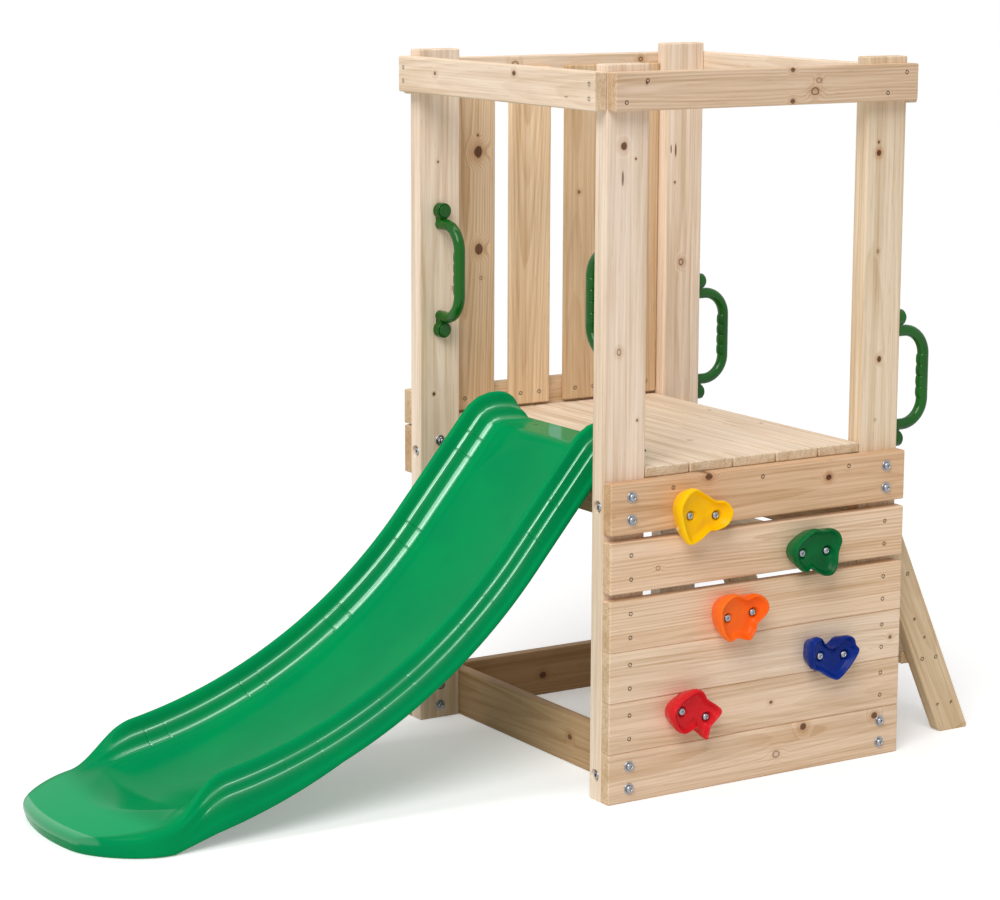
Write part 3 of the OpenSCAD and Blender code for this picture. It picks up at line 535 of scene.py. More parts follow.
def knotMasks(tree, name, size, place, wiggle, radius):
    # a knot is a dark blot, a ring with a pale middle or a short streak; the rings bend round it
    core, halo = None, None
    for alongKnot, acrossKnot, knotRadius, dark, kind in timberKnots.get(name, []):
        shape, edge = knotKinds[kind], knotEdge
        spot = Vector(((alongKnot - size[0] / 2) * mm, (acrossKnot - size[1] / 2) * mm, 0))
        away = vector(tree, "MULTIPLY", vector(tree, "SUBTRACT", place, spot), shape["stretch"])
        reach = knotRadius * shape["core"] * mm
        waver = calc(tree, "SUBTRACT", wiggle, 0.5)
        far = timesPlus(tree, waver, edge["wobble"] * reach, vector(tree, "LENGTH", away))
        disc = step(tree, far, reach * edge["coreStart"], reach * edge["coreFull"], 0.0, dark ** 0.5)
        if kind == "ring":
            pale = step(tree, far, reach * edge["paleIn"], reach * edge["paleOut"], edge["paleLeft"], 1.0)
            disc = times(tree, disc, pale)
        glow = step(tree, far, reach * shape["halo"], reach * edge["haloFull"], 0.0, dark)
        if shape["push"]:
            radius = timesPlus(tree, glow, knotRadius * shape["push"] * mm, radius)
        core = disc if core is None else calc(tree, "MAXIMUM", core, disc)
        halo = glow if halo is None else calc(tree, "MAXIMUM", halo, glow)
    return core, halo, radius


def boardPlace(tree, name):
    # object coordinates turned into distances from the board's centre along, across and through it
    centre, along, wide, size = boardAxes(name)
    turn = Matrix(np.stack([along, wide, np.cross(along, wide)], 1).tolist()).to_euler()
    mapping = tree.nodes.new("ShaderNodeMapping")
    mapping.vector_type = "TEXTURE"
    plug(tree, mapping.inputs["Vector"], objectPlace(tree))
    plug(tree, mapping.inputs["Location"], Vector(centre * mm))
    plug(tree, mapping.inputs["Rotation"], Vector(turn))
    parts = tree.nodes.new("ShaderNodeSeparateXYZ")
    plug(tree, parts.inputs[0], mapping.outputs["Vector"])
    return size, mapping.outputs["Vector"], parts.outputs


def spruce(name, number):
    draw = np.random.default_rng(woodSkin["seed"] + number)
    material, tree, shader = newMaterial("spruce_" + name)
    size, place, (length, width, depth) = boardPlace(tree, name)
    ringShare, pith = closest(timberGrain, name)
    rings = woodRings

    def layer(key):
        waves, detail, roughness = woodNoise[key]
        shift = Vector(draw.uniform(-woodSkin["shift"], woodSkin["shift"], 3))
        return noise(tree, place, waves, shift, detail, roughness)

    def masked(key):
        return step(tree, layer(key), *woodSpans[key])

    # growth rings round a pith that lies beside the board and leans a little against it
    pithWide = draw.uniform(-rings["pithAside"], rings["pithAside"]) * size[1]
    pithDeep = draw.choice([-1, 1]) * pith * draw.uniform(*rings["pithSpread"])
    leanWide = draw.uniform(-rings["leanWide"], rings["leanWide"])
    leanDeep = draw.uniform(-rings["leanDeep"], rings["leanDeep"])
    ringWide = calc(tree, "ADD", timesPlus(tree, length, leanWide, width), pithWide * mm)
    ringDeep = calc(tree, "ADD", timesPlus(tree, length, leanDeep, depth), pithDeep * mm)
    squares = calc(tree, "ADD", times(tree, ringWide, ringWide), times(tree, ringDeep, ringDeep))
    radius = calc(tree, "SQRT", squares)
    radius = timesPlus(tree, layer("wander"), rings["wander"] * mm, radius)
    wiggle = layer("wiggle")
    radius = timesPlus(tree, wiggle, rings["wiggle"] * mm, radius)
    core, halo, radius = knotMasks(tree, name, size, place, wiggle, radius)

    phase = calc(tree, "DIVIDE", radius, rings["pitch"] * draw.uniform(*rings["pitchSpread"]) * mm)
    ring = calc(tree, "FRACT", phase)
    whole = tree.nodes.new("ShaderNodeTexWhiteNoise")
    whole.noise_dimensions = "1D"
    plug(tree, whole.inputs["W"], calc(tree, "FLOOR", phase))
    rise = step(tree, ring, *woodSpans["ringRise"])
    fall = step(tree, ring, *woodSpans["ringFall"])
    strength = timesPlus(tree, whole.outputs["Value"], 1 - rings["weakest"], rings["weakest"])
    late = times(tree, times(tree, rise, fall), strength)
    fibre = layer("fibre")
    line, streak, cloud, fleck = (masked(key) for key in ("line", "streak", "cloud", "fleck"))

    # all the grain adds up to one shade, from the pale early wood to the darker, warmer late wood
    tone = colour(*closest(timberTones, name))
    tints = {key: tinted(tone, *tint) for key, tint in woodTints.items()}
    shade = times(tree, late, ringShare)
    shade = timesPlus(tree, line, woodShares["line"], shade)
    shade = timesPlus(tree, streak, woodShares["streak"], shade)
    shade = timesPlus(tree, step(tree, fibre, *woodSpans["fibre"]), woodShares["fibre"], shade)
    paint = mixed(tree, calc(tree, "MINIMUM", shade, 1.0), tints["early"], tints["late"])
    paint = mixed(tree, times(tree, cloud, woodShares["cloud"]), paint, woodFilters["cloud"], "MULTIPLY")
    paint = mixed(tree, times(tree, fleck, woodShares["fleck"]), paint, tints["fleck"])
    if core is not None:
        haloShare = times(tree, calc(tree, "POWER", halo, 2.0), woodShares["halo"])
        paint = mixed(tree, haloShare, paint, tints["halo"])
        knotWood = mixed(tree, ring, colour(*knotEdge["core"]), colour(*knotEdge["deep"]))
        paint = mixed(tree, core, paint, knotWood)

    # sawn ends are greyer, and the eased edges catch a little dirt
    half = size / 2
    endStart, endFull = (half[0] - woodSkin["endStart"]) * mm, (half[0] - woodSkin["endFull"]) * mm
    endMask = step(tree, calc(tree, "ABSOLUTE", length), endStart, endFull)
    endGrain = mixed(tree, masked("pores"), woodFilters["endDark"], woodFilters["endPale"])
    paint = mixed(tree, times(tree, endMask, woodShares["end"]), paint, endGrain, "MULTIPLY")
    edgeWide, edgeDeep = (
        step(tree, calc(tree, "ABSOLUTE", away), (reach - timber["edgeRound"]) * mm, reach * mm)
        for away, reach in ((width, half[1]), (depth, half[2]))
    )
    edgeShare = times(tree, times(tree, edgeWide, edgeDeep), woodShares["edge"])
    paint = mixed(tree, edgeShare, paint, woodFilters["edge"], "MULTIPLY")

    plug(tree, shader.inputs["Base Color"], paint)
    rough = timesPlus(tree, late, woodSkin["lateRough"], woodSkin["roughness"])
    plug(tree, shader.inputs["Roughness"], timesPlus(tree, fibre, woodSkin["fibreRough"], rough))
    plug(tree, shader.inputs["Specular IOR Level"], woodSkin["specular"])
    height = timesPlus(tree, fibre, woodSkin["fibreBump"], times(tree, late, woodSkin["lateBump"]))
    plug(tree, shader.inputs["Normal"], bumped(tree, height, woodSkin["bump"], woodSkin["bumpDepth"] * mm))
    return material


timberNames = [
    name for name in sorted(nodes)
    if any(name.startswith(key) for key in timberTones) and not name.endswith(("_screws", "_bolts"))
]
for number, name in enumerate(timberNames):
    words = name.split("_")
    pieceName = words[0] + "".join(word.capitalize() for word in words[1:])
    addPiece(pieceName, [boardShell(name)], spruce(name, number), [name], timber["sharpAngle"])
print("timber:", len(timberNames), "boards")


# Moulded plastics and zinc

mouldSkin = dict(
    cloudWaves=9, cloudShift=(3, 7, 1), cloudSpan=(0.35, 0.65), fineShift=(11, 2, 5), fineSpan=(0.3, 0.75),
    fineShare=0.10, broadWaves=38, broadShift=(1, 9, 4), glossSpread=0.08, broadBump=0.6, fineBump=0.4,
    bumpDepth=0.4,
)
slideSkin = dict(
    deep=(0.001, 0.256, 0.081, 1), pale=(0.001, 0.278, 0.083, 1), roughness=0.12, peel=0.03, peelWaves=260,
    sheen=(0.75, 1, 0.90, 1),
)
# the colour mixed onto the slide's foot plate is painted light, a paler green
slideGloss = dict(index=1.7, body=0.012, crest=1.0, worn=(0.010, 0.40, 0.14, 1), wear=0.75)
handleSkin = dict(
    deep=(0.003, 0.080, 0.004, 1), pale=(0.006, 0.120, 0.006, 1), roughness=0.09, peel=0.02, peelWaves=700,
    specular=0.28,
)
holdSkin = dict(roughness=0.26, peel=0.10, peelWaves=900, specular=0.10)
zincSkin = dict(
    cloudWaves=160, cloudShift=(2, 5, 8), scratchWaves=(260, 260, 2400), scratchShift=(4, 1, 6),
    dull=(0.22, 0.235, 0.26, 1), bright=(0.46, 0.47, 0.49, 1), roughness=0.18, glossSpread=0.22,
    bump=0.15, bumpDepth=0.1,
)


def mouldedPlastic(name, deep, pale, roughness, peel, peelWaves, specular=0.0, sheen=(1, 1, 1, 1)):
    # pigment clouds between two colours, uneven gloss, and the fine skin of the mould
    k = mouldSkin
    material, tree, shader = newMaterial(name)
    place = objectPlace(tree)
    cloud = step(tree, noise(tree, place, (k["cloudWaves"],) * 3, k["cloudShift"]), *k["cloudSpan"])
    fine = noise(tree, place, (peelWaves,) * 3, k["fineShift"])
    broad = noise(tree, place, (k["broadWaves"],) * 3, k["broadShift"], 1.0)
    speck = step(tree, fine, *k["fineSpan"], 0.0, k["fineShare"])
    plug(tree, shader.inputs["Base Color"], mixed(tree, speck, mixed(tree, cloud, deep, pale), deep))
    gloss = timesPlus(tree, broad, k["glossSpread"], roughness - k["glossSpread"] / 2)
    plug(tree, shader.inputs["Roughness"], gloss)
    plug(tree, shader.inputs["Specular IOR Level"], specular)
    plug(tree, shader.inputs["Specular Tint"], sheen)
    height = timesPlus(tree, broad, k["broadBump"], times(tree, fine, k["fineBump"]))
    plug(tree, shader.inputs["Normal"], bumped(tree, height, peel, k["bumpDepth"] * mm))
    return material


def zincPlate(name):
    # bluish zinc with fine turning marks and a few dull patches
    k = zincSkin
    material, tree, shader = newMaterial(name)
    place = objectPlace(tree)
    cloud = noise(tree, place, (k["cloudWaves"],) * 3, k["cloudShift"], 3.0)
    scratch = noise(tree, place, k["scratchWaves"], k["scratchShift"])
    plug(tree, shader.inputs["Base Color"], mixed(tree, cloud, k["dull"], k["bright"]))
    plug(tree, shader.inputs["Metallic"], 1.0)
    plug(tree, shader.inputs["Roughness"], timesPlus(tree, cloud, k["glossSpread"], k["roughness"]))
    plug(tree, shader.inputs["Normal"], bumped(tree, scratch, k["bump"], k["bumpDepth"] * mm))
    return material


def polishedAndPlateLit(material):
    # the slide's mesh says where its crests are polished brighter and where its foot plate gets painted
    # light, a paler green
    tree = material.node_tree
    shader = next(node for node in tree.nodes if node.type == "BSDF_PRINCIPLED")
    rise = slideGloss["crest"] - slideGloss["body"]
    gloss = timesPlus(tree, attribute(tree, "crest"), rise, slideGloss["body"])
    plug(tree, shader.inputs["Specular IOR Level"], gloss)
    plug(tree, shader.inputs["IOR"], slideGloss["index"])
    paint = shader.inputs["Base Color"].links[0].from_socket
    # painted light: the foot plate's colour is mixed towards a paler green
    wear = times(tree, attribute(tree, "worn"), slideGloss["wear"])
    plug(tree, shader.inputs["Base Color"], mixed(tree, wear, paint, slideGloss["worn"]))


slidePlastic = mouldedPlastic("slide_green", **slideSkin)
polishedAndPlateLit(slidePlastic)
handlePlastic = mouldedPlastic("handle_green", **handleSkin)
zinc = zincPlate("zinc_plate")


# Slide: one moulded shell, lofted down the bed line

slideMould = dict(
    width=404, rim=56, ridgeLow=12, ridgeHigh=33, skirt=22, footSkirt=28, skirtStart=470, bed=12,
    dish=10, dishStart=20, dishRise=120, dishEnd=96, dishRun=84, wallFoot=66, bedStep=12,
    slope=50, exitSlope=8.5, crestRadius=26, sweepRadius=985, runout=229, pathSteps=12001,
    toeHeight=31, toeCorner=116, toeRadius=16, toePolish=0.4, toeTuck=6, toeBow=46,
    lip=86, lipStart=6, lipThick=5, foldIn=3.5, postGap=0.2, rimEndIn=12, rimRound=60, rimFall=145,
    footFlat=122, padPitch=204, innerPad=(130, 40, 5), outerPad=(212, 69, 4), padDepth=0.35,
    grooveDepth=0.9, groove=1.5, nearGroove=(-3, -2, -1.3, -0.7, 0, 0.7, 1.3, 2, 3),
    flatSide=(0.56, 0.84), crestFrom=0.5, crestRun=0.4, toeEdge=0.8, wornPast=50, wornRun=60,
    roundSteps=3, stationStep=8, quarterSteps=24, sharpAngle=55,
)


def padDip(way, first, length, count):
    # each shallow pad on the ridges lies a little low, with a narrow groove at either end: the groove's
    # depth times exp(-(distance / groove width)^2)
    m = slideMould
    starts = first + m["padPitch"] * np.arange(count)
    inside = np.minimum(way[:, None] - starts, starts + length - way[:, None])
    flat = m["padDepth"] * ease(inside / m["groove"] + 0.5)
    return (flat + m["grooveDepth"] * np.exp(-(inside / m["groove"]) ** 2)).max(1)


def slideStations(total):
    # places along the slide: close together round the rim's end, at the pads' ends and round the tip
    m = slideMould
    quarter = 1 - np.cos(np.linspace(0, math.pi / 2, m["quarterSteps"]))
    nearGroove = np.array(m["nearGroove"])
    padMarks = [
        start + m["padPitch"] * np.arange(count)[:, None] + np.concatenate([nearGroove, length + nearGroove])
        for start, length, count in (m["innerPad"], m["outerPad"])
    ]
    rimFull = m["rimEndIn"] + m["rimRound"]
    return np.unique(np.concatenate([
        [0, m["lipStart"], m["rimEndIn"]], m["rimEndIn"] + m["rimRound"] * quarter,
        np.arange(rimFull, total - m["toeRadius"], m["stationStep"]),
        *(marks.ravel() for marks in padMarks), total - m["toeRadius"] * quarter,
    ]).round(3))


def slideRows():
    # half of the section, as groups of (inset from the edge, height above the bed, share of the skirt, share
    # of the underside): bed, wall, top of the rim, outer wall, side, underside; two close points beside a
    # ridge's corner keep that corner crisp
    m = slideMould
    rim, ridge, crest, half = m["rim"], m["ridgeLow"], m["ridgeHigh"], m["width"] / 2
    bed = [(half - across, 0) for across in np.arange(0, half - m["wallFoot"], m["bedStep"])]
    groups = [
        bed + [(m["wallFoot"], 0), (57, 3)],
        [(51.6, ridge - 5.6), (50, ridge - 3.4), (47.2, ridge - 1.8), (44, ridge),
         (37.8, crest - 5.2), (37, crest - 2.9), (34.8, crest - 1.6), (32, crest)],
        [(29, rim - 8), (26, rim - 2), (21, rim), (16, rim - 2), (14, rim - 8)],
        [(13, crest + 2), (11, crest + 0.9), (9.5, crest), (9.4, crest - 2),
         (8.5, ridge + 5), (6.5, ridge + 3.9), (5, ridge + 3), (4.9, ridge + 1)],
        [(4, 0, 0.35, 0), (1, 0, 0.45, 0), (0, 0, 0.8, 0)],
        [(2, 0, 1, 0), (20, 0, 1, 0), (32, 0, 0, 1), (half, 0, 0, 1)],
    ]
    rows = np.array([(*row, 0, 0)[:4] for group in groups for row in group])
    return rows, [len(group) for group in groups]


def slideShell():
    m = slideMould
    deckTop, postBack = high("deck_board_1", 2), high("post_front_left", 1)
    slope, exitSlope = math.radians(m["slope"]), math.radians(m["exitSlope"])

    # the bed line: level on the deck, folded over its edge, straight, swept out and straight again
    bedTop = deckTop + m["lipThick"]
    crestY = postBack - m["foldIn"] + m["crestRadius"] * math.tan(slope / 2)
    fall = bedTop - m["toeHeight"] - m["crestRadius"] * (1 - math.cos(slope))
    fall -= m["sweepRadius"] * (math.cos(exitSlope) - math.cos(slope)) + m["runout"] * math.sin(exitSlope)
    lipY = postBack + m["lip"]
    lengths = [lipY - crestY, m["crestRadius"] * slope, fall / math.sin(slope),
               m["sweepRadius"] * (slope - exitSlope), m["runout"]]
    turns = [0, 0, m["slope"], m["slope"], m["exitSlope"], m["exitSlope"]]
    way, place, heading = turnedPath(lengths, turns, m["pathSteps"])
    s = slideStations(way[-1])
    y = lipY - np.interp(s, way, place[:, 0])
    z = bedTop - np.interp(s, way, place[:, 1])
    a = np.interp(s, way, heading)
    d = way[-1] - s

    # how much of the rim stands, how deep the sides go, and how much room there is above deck and floor
    foot = ease((d - m["footFlat"]) / m["rimFall"])
    share = np.minimum(quarterRound((s - m["rimEndIn"]) / m["rimRound"]), foot)[:, None]
    toPost = (postBack - m["postGap"] - y) / np.maximum(np.sin(a), 0.001)
    room = np.minimum(z / np.cos(a), np.maximum((z - deckTop) / np.cos(a), toPost))
    grown = np.clip((m["skirtStart"] - d) / (m["skirtStart"] - m["footFlat"]), 0, 1)
    skirt = np.minimum(room, m["skirt"] + m["footSkirt"] * grown)[:, None]
    under = np.minimum(skirt, skirt + foot[:, None] * (m["bed"] - skirt))

    # the section with rims and the flat section of the foot, and their blend
    rows, counts = slideRows()
    marks = np.cumsum([0] + counts)
    half = m["width"] / 2
    rimX = half - rows[:, 0] + 0 * skirt
    rimN = rows[:, 1] - rows[:, 2] * skirt - rows[:, 3] * under
    edge = np.minimum(m["toeRadius"], 0.5 * skirt)
    inner, arc = marks[2], counts[2] + counts[3] - 4
    bend = np.linspace(0, math.pi / 2, arc)
    sideDown = np.linspace(*m["flatSide"], 4 + counts[4])
    flatX = np.concatenate([rimX[:, :inner], half - edge + edge * np.sin(bend),
                            half + 0 * skirt * sideDown, rimX[:, marks[5]:]], 1)
    flatN = np.concatenate([0 * skirt * np.ones(inner), edge * np.cos(bend) - edge, -skirt * sideDown,
                            -skirt * np.ones(2), -under * np.ones(2)], 1)
    x = share * rimX + (1 - share) * flatX
    n = share * rimN + (1 - share) * flatN

    # the bed is dished: its depth falls off with the square of the place across, and where the trough runs
    # out on the foot plate the depth falls evenly to nothing, so that the two meet along a curved edge
    bed = slice(0, marks[1])
    hollow = ease((s - lengths[0] - m["dishStart"]) / m["dishRise"])
    hollow = hollow * np.clip((d - m["dishEnd"]) / m["dishRun"], 0, 1)
    n[:, bed] -= m["dish"] * np.clip(hollow[:, None] - (x[:, bed] / (half - m["wallFoot"])) ** 2, 0, 1)

    # shallow pads let into the ridges, on the inside and the outside of the rims
    innerDip = (share[:, 0] * padDip(s, *m["innerPad"]))[:, None]
    outerDip = (share[:, 0] * padDip(s, *m["outerPad"]))[:, None]
    x[:, marks[1]:marks[2] - 1] += innerDip
    n[:, marks[1]:marks[2] - 1] -= innerDip
    x[:, marks[3] + 1:marks[4]] -= outerDip

    # rounded corners of the foot in plan, and its front wall, which is upright under a rounded edge
    corner = m["toeCorner"] / half
    x = x * (1 - corner * (1 - quarterRound(d / m["toeCorner"])))[:, None]
    nose = m["toeRadius"] * (1 - quarterRound(d / m["toeRadius"]))[:, None]
    atTip = d[:, None] < m["toeRadius"]
    n = np.where(atTip, np.minimum(n, -nose), n)

    # the ridges' crests and the foot's front edge are polished, and the foot plate gets painted light, a
    # paler green
    ledges = np.array([1, 2, 5, 6])
    polished = np.zeros(len(rows))
    polished[np.concatenate([marks[1] + ledges, marks[3] + ledges])] = 1
    crest = polished * ease((share - m["crestFrom"]) / m["crestRun"])
    toeEdge = atTip & (n > -m["toeEdge"] * m["toeRadius"]) & (n < 0)
    crest = np.maximum(crest, m["toePolish"] * toeEdge)
    plate = ease((m["dishEnd"] + m["wornPast"] - d) / m["wornRun"])[:, None]
    worn = (np.arange(len(rows)) < inner) * plate * (1 - share)
    worn = worn * ease(d / m["toeRadius"])[:, None]

    # the other half mirrored, both ends closed to a line, and the foot's edge bowed and tucked in below
    loopX = np.concatenate([x, -x[:, -2:0:-1]], 1)
    loopN, loopCrest, loopPlateLight = (np.concatenate([line, line[:, -2:0:-1]], 1) for line in (n, crest, worn))
    loop = smoothLine(np.stack([loopX, loopN, loopCrest, loopPlateLight], -1), m["roundSteps"])
    first, last = loop[:1].copy(), loop[-1:].copy()
    first[..., 1:], last[..., 1:] = 0, 0
    first[..., 1], last[..., 1] = -skirt[0] / 2, -skirt[-1] / 2
    loop = np.concatenate([first, loop, last])
    y, z, a, d = (np.concatenate([line[:1], line, line[-1:]])[:, None] for line in (y, z, a, d))
    tuck = m["toeTuck"] * np.clip(-loop[..., 1] / m["toeHeight"], 0, 1) ** 2
    bow = (tuck + m["toeBow"] * (loop[..., 0] / half) ** 2) * np.clip(1 - d / m["runout"], 0, 1)
    side = middle("slide", 0) + loop[..., 0]
    back, up = y - loop[..., 1] * np.sin(a) + bow, z + loop[..., 1] * np.cos(a)
    return gridShell(np.stack([side, back, up], -1)), dict(crest=loop[..., 2], worn=loop[..., 3])


shell, slideMasks = slideShell()
slideSharp = slideMould["sharpAngle"]
addPiece("slideShell", [shell], slidePlastic, ["slide"], slideSharp, slideMasks)
print("slide: lofted")


# Handles: a bent bar with finger beads, round screw pads with feet, and flat caps

handleBow = dict(
    pitch=222, bar=21, reach=70, bend=46, leg=25, padWide=30, padHigh=17, capWide=24, capHigh=3,
    capGroove=0.9, beads=4, beadStep=20, beadHigh=2.5, footWide=19, footHigh=13.6, sides=40, steps=401,
    moundSteps=4, capSharpAngle=60,
)


def handlePlaces():
    # origin on the post and outward direction, for each handle's node
    spots = {}
    for side, out in (("left", 1.0), ("right", -1.0)):
        post, name = "post_front_" + side, "handle_front_" + side
        face = outerFace(post, 0, out)
        spots[name] = (np.array([face, middle(post, 1), middle(name, 2)]), np.array([out, 0, 0]))
        post, name = "post_back_" + side, "handle_back_" + side
        spots[name] = (np.array([middle(post, 0), high(post, 1), middle(name, 2)]), np.array([0, 1.0, 0]))
    return spots


def placed(local, origin, out):
    # local points are (outwards, across, up)
    up = np.array([0, 0, 1.0])
    return origin + local[..., :1] * out + local[..., 1:2] * np.cross(up, out) + local[..., 2:] * up


def handleBar():
    # the bar's circle carried along a path of legs, bends and grip; on the side that faces the post each
    # finger bead swells the radius by its height times sqrt(1 - (distance / half a step)^2) times cos(angle)
    h = handleBow
    straight, legUp = h["reach"] - h["bend"], h["pitch"] / 2 - h["leg"]
    bend = h["bend"] * math.pi / 2
    lengths = [straight, bend, 2 * (legUp - h["bend"]), bend, straight]
    way, path, heading = turnedPath(lengths, [0, 0, -90, -90, -180, -180], h["steps"])
    turn = np.arange(h["sides"]) * 2 * math.pi / h["sides"]
    up = legUp + path[:, 1]
    bead = up / h["beadStep"] + h["beads"] / 2
    fromMiddle = 2 * (bead % 1) - 1
    swell = np.sqrt(1 - fromMiddle ** 2) * ((bead > 0) & (bead < h["beads"]))
    radius = h["bar"] / 2 + h["beadHigh"] * swell[:, None] * np.clip(np.cos(turn), 0, 1)
    radius = np.concatenate([0 * radius[:1], radius, 0 * radius[:1]])
    rows = np.concatenate([[0], np.arange(len(up)), [len(up) - 1]])
    inX, inZ = np.sin(heading)[rows, None], -np.cos(heading)[rows, None]
    outwards = path[rows, None, 0] + radius * np.cos(turn) * inX
    across = radius * np.sin(turn) + 0 * inX
    return np.stack([outwards, across, up[rows, None] + radius * np.cos(turn) * inZ], -1)


def mound(outline, rings):
    # an outline drawn in ring by ring towards its middle: each ring is (share of the outline, height)
    rings = smoothLine(np.array(rings, float), handleBow["moundSteps"], closed=False)
    centre = outline.mean(0)
    flat = centre + rings[:, :1, None] * (outline - centre)
    return np.concatenate([np.repeat(rings[:, None, 1:], len(outline), 1), flat], -1)


def circle(radius, count=48):
    turn = np.arange(count) * 2 * math.pi / count
    return radius * np.stack([np.cos(turn), np.sin(turn)], -1)


def handleShells():
    h = handleBow
    shells = [handleBar()]
    top, foot = h["padHigh"], h["footHigh"]
    seat, floor = h["capWide"] / h["padWide"], h["padHigh"] - h["capGroove"]
    padRings = [
        (0, 0), (0.97, 0), (1, 0), (1, 0.3 * top), (1, 0.74 * top), (0.985, 0.93 * top), (0.93, top),
        (seat + 0.06, top), (seat + 0.03, top - 0.1), (seat + 0.01, floor), (seat - 0.02, floor), (0, floor),
    ]
    footRings = [
        (0, 0), (0.97, 0), (1, 0), (1, 0.55 * foot), (0.96, 0.88 * foot), (0.78, foot), (0.5, foot),
        (0, foot),
    ]
    for side in (-1, 1):
        pad = circle(h["padWide"] / 2) + np.array([0, side * h["pitch"] / 2])
        shells.append(mound(pad, padRings))
        rim = circle(h["footWide"] / 2)
        legMiddle = side * (h["pitch"] / 2 - h["leg"] / 2)
        rim[:, 1] = legMiddle + rim[:, 1] + np.sign(rim[:, 1]) * h["leg"] / 2
        shells.append(mound(rim, footRings))
    return shells


def capShells():
    # a flat disc with a rounded edge, let into the pad by the depth of its groove
    h = handleBow
    top, floor = h["capHigh"], -h["capGroove"]
    rings = [
        (0, floor), (0.96, floor), (0.985, floor), (0.985, 0.45 * top), (0.97, 0.85 * top), (0.88, top),
        (0.7, top), (0, top),
    ]
    cap = mound(circle(h["capWide"] / 2), rings)
    return [cap + np.array([h["padHigh"], 0, side * h["pitch"] / 2]) for side in (-1, 1)]


for name, (origin, out) in handlePlaces().items():
    shells = [gridShell(placed(shell, origin, out)) for shell in handleShells()]
    addPiece(name.replace("handle", "grip"), shells, handlePlastic, [name])
caps = [gridShell(placed(cap, *spot)) for spot in handlePlaces().values() for cap in capShells()]
addPiece("gripCaps", caps, handlePlastic, ["handle_caps"], handleBow["capSharpAngle"])
print("handles: 4 grips with caps")


# Climbing holds: a lobed outline, a rolled rim, a dished face and two bolt pockets

holdShape = dict(
    height=42, seat=20, boltPitch=55, pocket=8.6, pocketFlat=0.86, pocketRun=0.4, curveSteps=12, ringSteps=6,
    baseSmooth=0.45, baseUp=0.75, baseWindow=9, notchDrop=0.40, sharpAngle=75,
)

climbingHolds = {
    "yellow": dict(
        board=1, along=0.274, rise=-22, tilt=-5, dish=0.36, deep=(255, 188, 0), pale=(255, 205, 8),
        outline=[
            (-60, 18), (-52, 38), (-38, 50), (-22, 51), (4, 36), (26, 24), (42, 22), (55, 5), (47, -17),
            (26, -27), (10, -28), (-12, -40), (-34, -46), (-43, -38), (-52, -14),
        ],
    ),
    "green": dict(
        board=2, along=0.656, rise=-12, tilt=-1, dish=0.40, deep=(2, 84, 40), pale=(6, 106, 52),
        outline=[
            (-56, 6), (-50, 20), (-27, 35), (-6, 44), (12, 40), (29, 42), (43, 34), (50, 18), (45, -2),
            (42, -25), (32, -41), (16, -43), (0, -35), (-12, -26), (-28, -32), (-45, -18), (-54, -4),
        ],
    ),
    "orange": dict(
        board=3, along=0.405, rise=-4, tilt=4, dish=0.40, deep=(252, 98, 18), pale=(255, 118, 38),
        outline=[
            (-55, 8), (-53, 24), (-36, 38), (-18, 42), (-4, 36), (8, 31), (28, 37), (45, 28), (52, 12),
            (46, -3), (31, -17), (26, -30), (13, -44), (-2, -41), (-16, -38), (-32, -41), (-46, -28),
            (-52, -9),
        ],
    ),
    "blue": dict(
        board=4, along=0.727, rise=-14, tilt=-4, dish=0.40, deep=(6, 36, 118), pale=(12, 52, 148),
        outline=[
            (-57, 14), (-56, 33), (-40, 41), (-27, 28), (-15, 18), (-2, 15), (10, 20), (20, 31), (32, 34),
            (41, 28), (45, 17), (52, 7), (45, -9), (28, -29), (8, -43), (-7, -40), (-36, -23), (-51, -17),
            (-57, -4),
        ],
    ),
    "red": dict(
        board=5, along=0.255, rise=11, tilt=-18, dish=0.40, deep=(212, 32, 40), pale=(234, 52, 58),
        outline=[
            (-57, 11), (-52, 22), (-34, 35), (-6, 47), (7, 45), (15, 37), (22, 27), (43, 12), (50, 2),
            (44, -9), (29, -24), (24, -36), (20, -45), (16, -43), (9, -29), (0, -22), (-18, -28), (-32, -28),
            (-44, -19), (-55, -1),
        ],
    ),
}


def holdMiddle(hold):
    # a hold's place along its board is a share of the frame's depth
    board = "wall_board_%d" % hold["board"]
    front, back = low("post_front_right", 1), high("post_back_right", 1)
    along = front + hold["along"] * (back - front)
    return np.array([high(board, 0), along, middle(board, 2) + hold["rise"]])


def holdBolts(hold):
    tilt = math.radians(hold["tilt"])
    half = holdShape["boltPitch"] / 2 * np.array([math.cos(tilt), math.sin(tilt)])
    return [-half, half]


def holdRings(dish):
    # share of the outline and of the height: up the side, over the rim and down into the dish
    side = [(0, 0), (0.83, 0), (0.86, 0), (0.90, 0.15), (0.95, 0.40), (0.995, 0.68), (1.0, 0.86)]
    rim = [(0.985, 0.97), (0.945, 1.0), (0.89, 1 - 0.12 * dish), (0.80, 1 - 0.62 * dish)]
    face = [(0.68, 1 - 0.92 * dish), (0.5, 1 - dish), (0.2, 1 - dish), (0, 1 - dish)]
    return smoothLine(np.array(side + rim + face), holdShape["ringSteps"], closed=False)


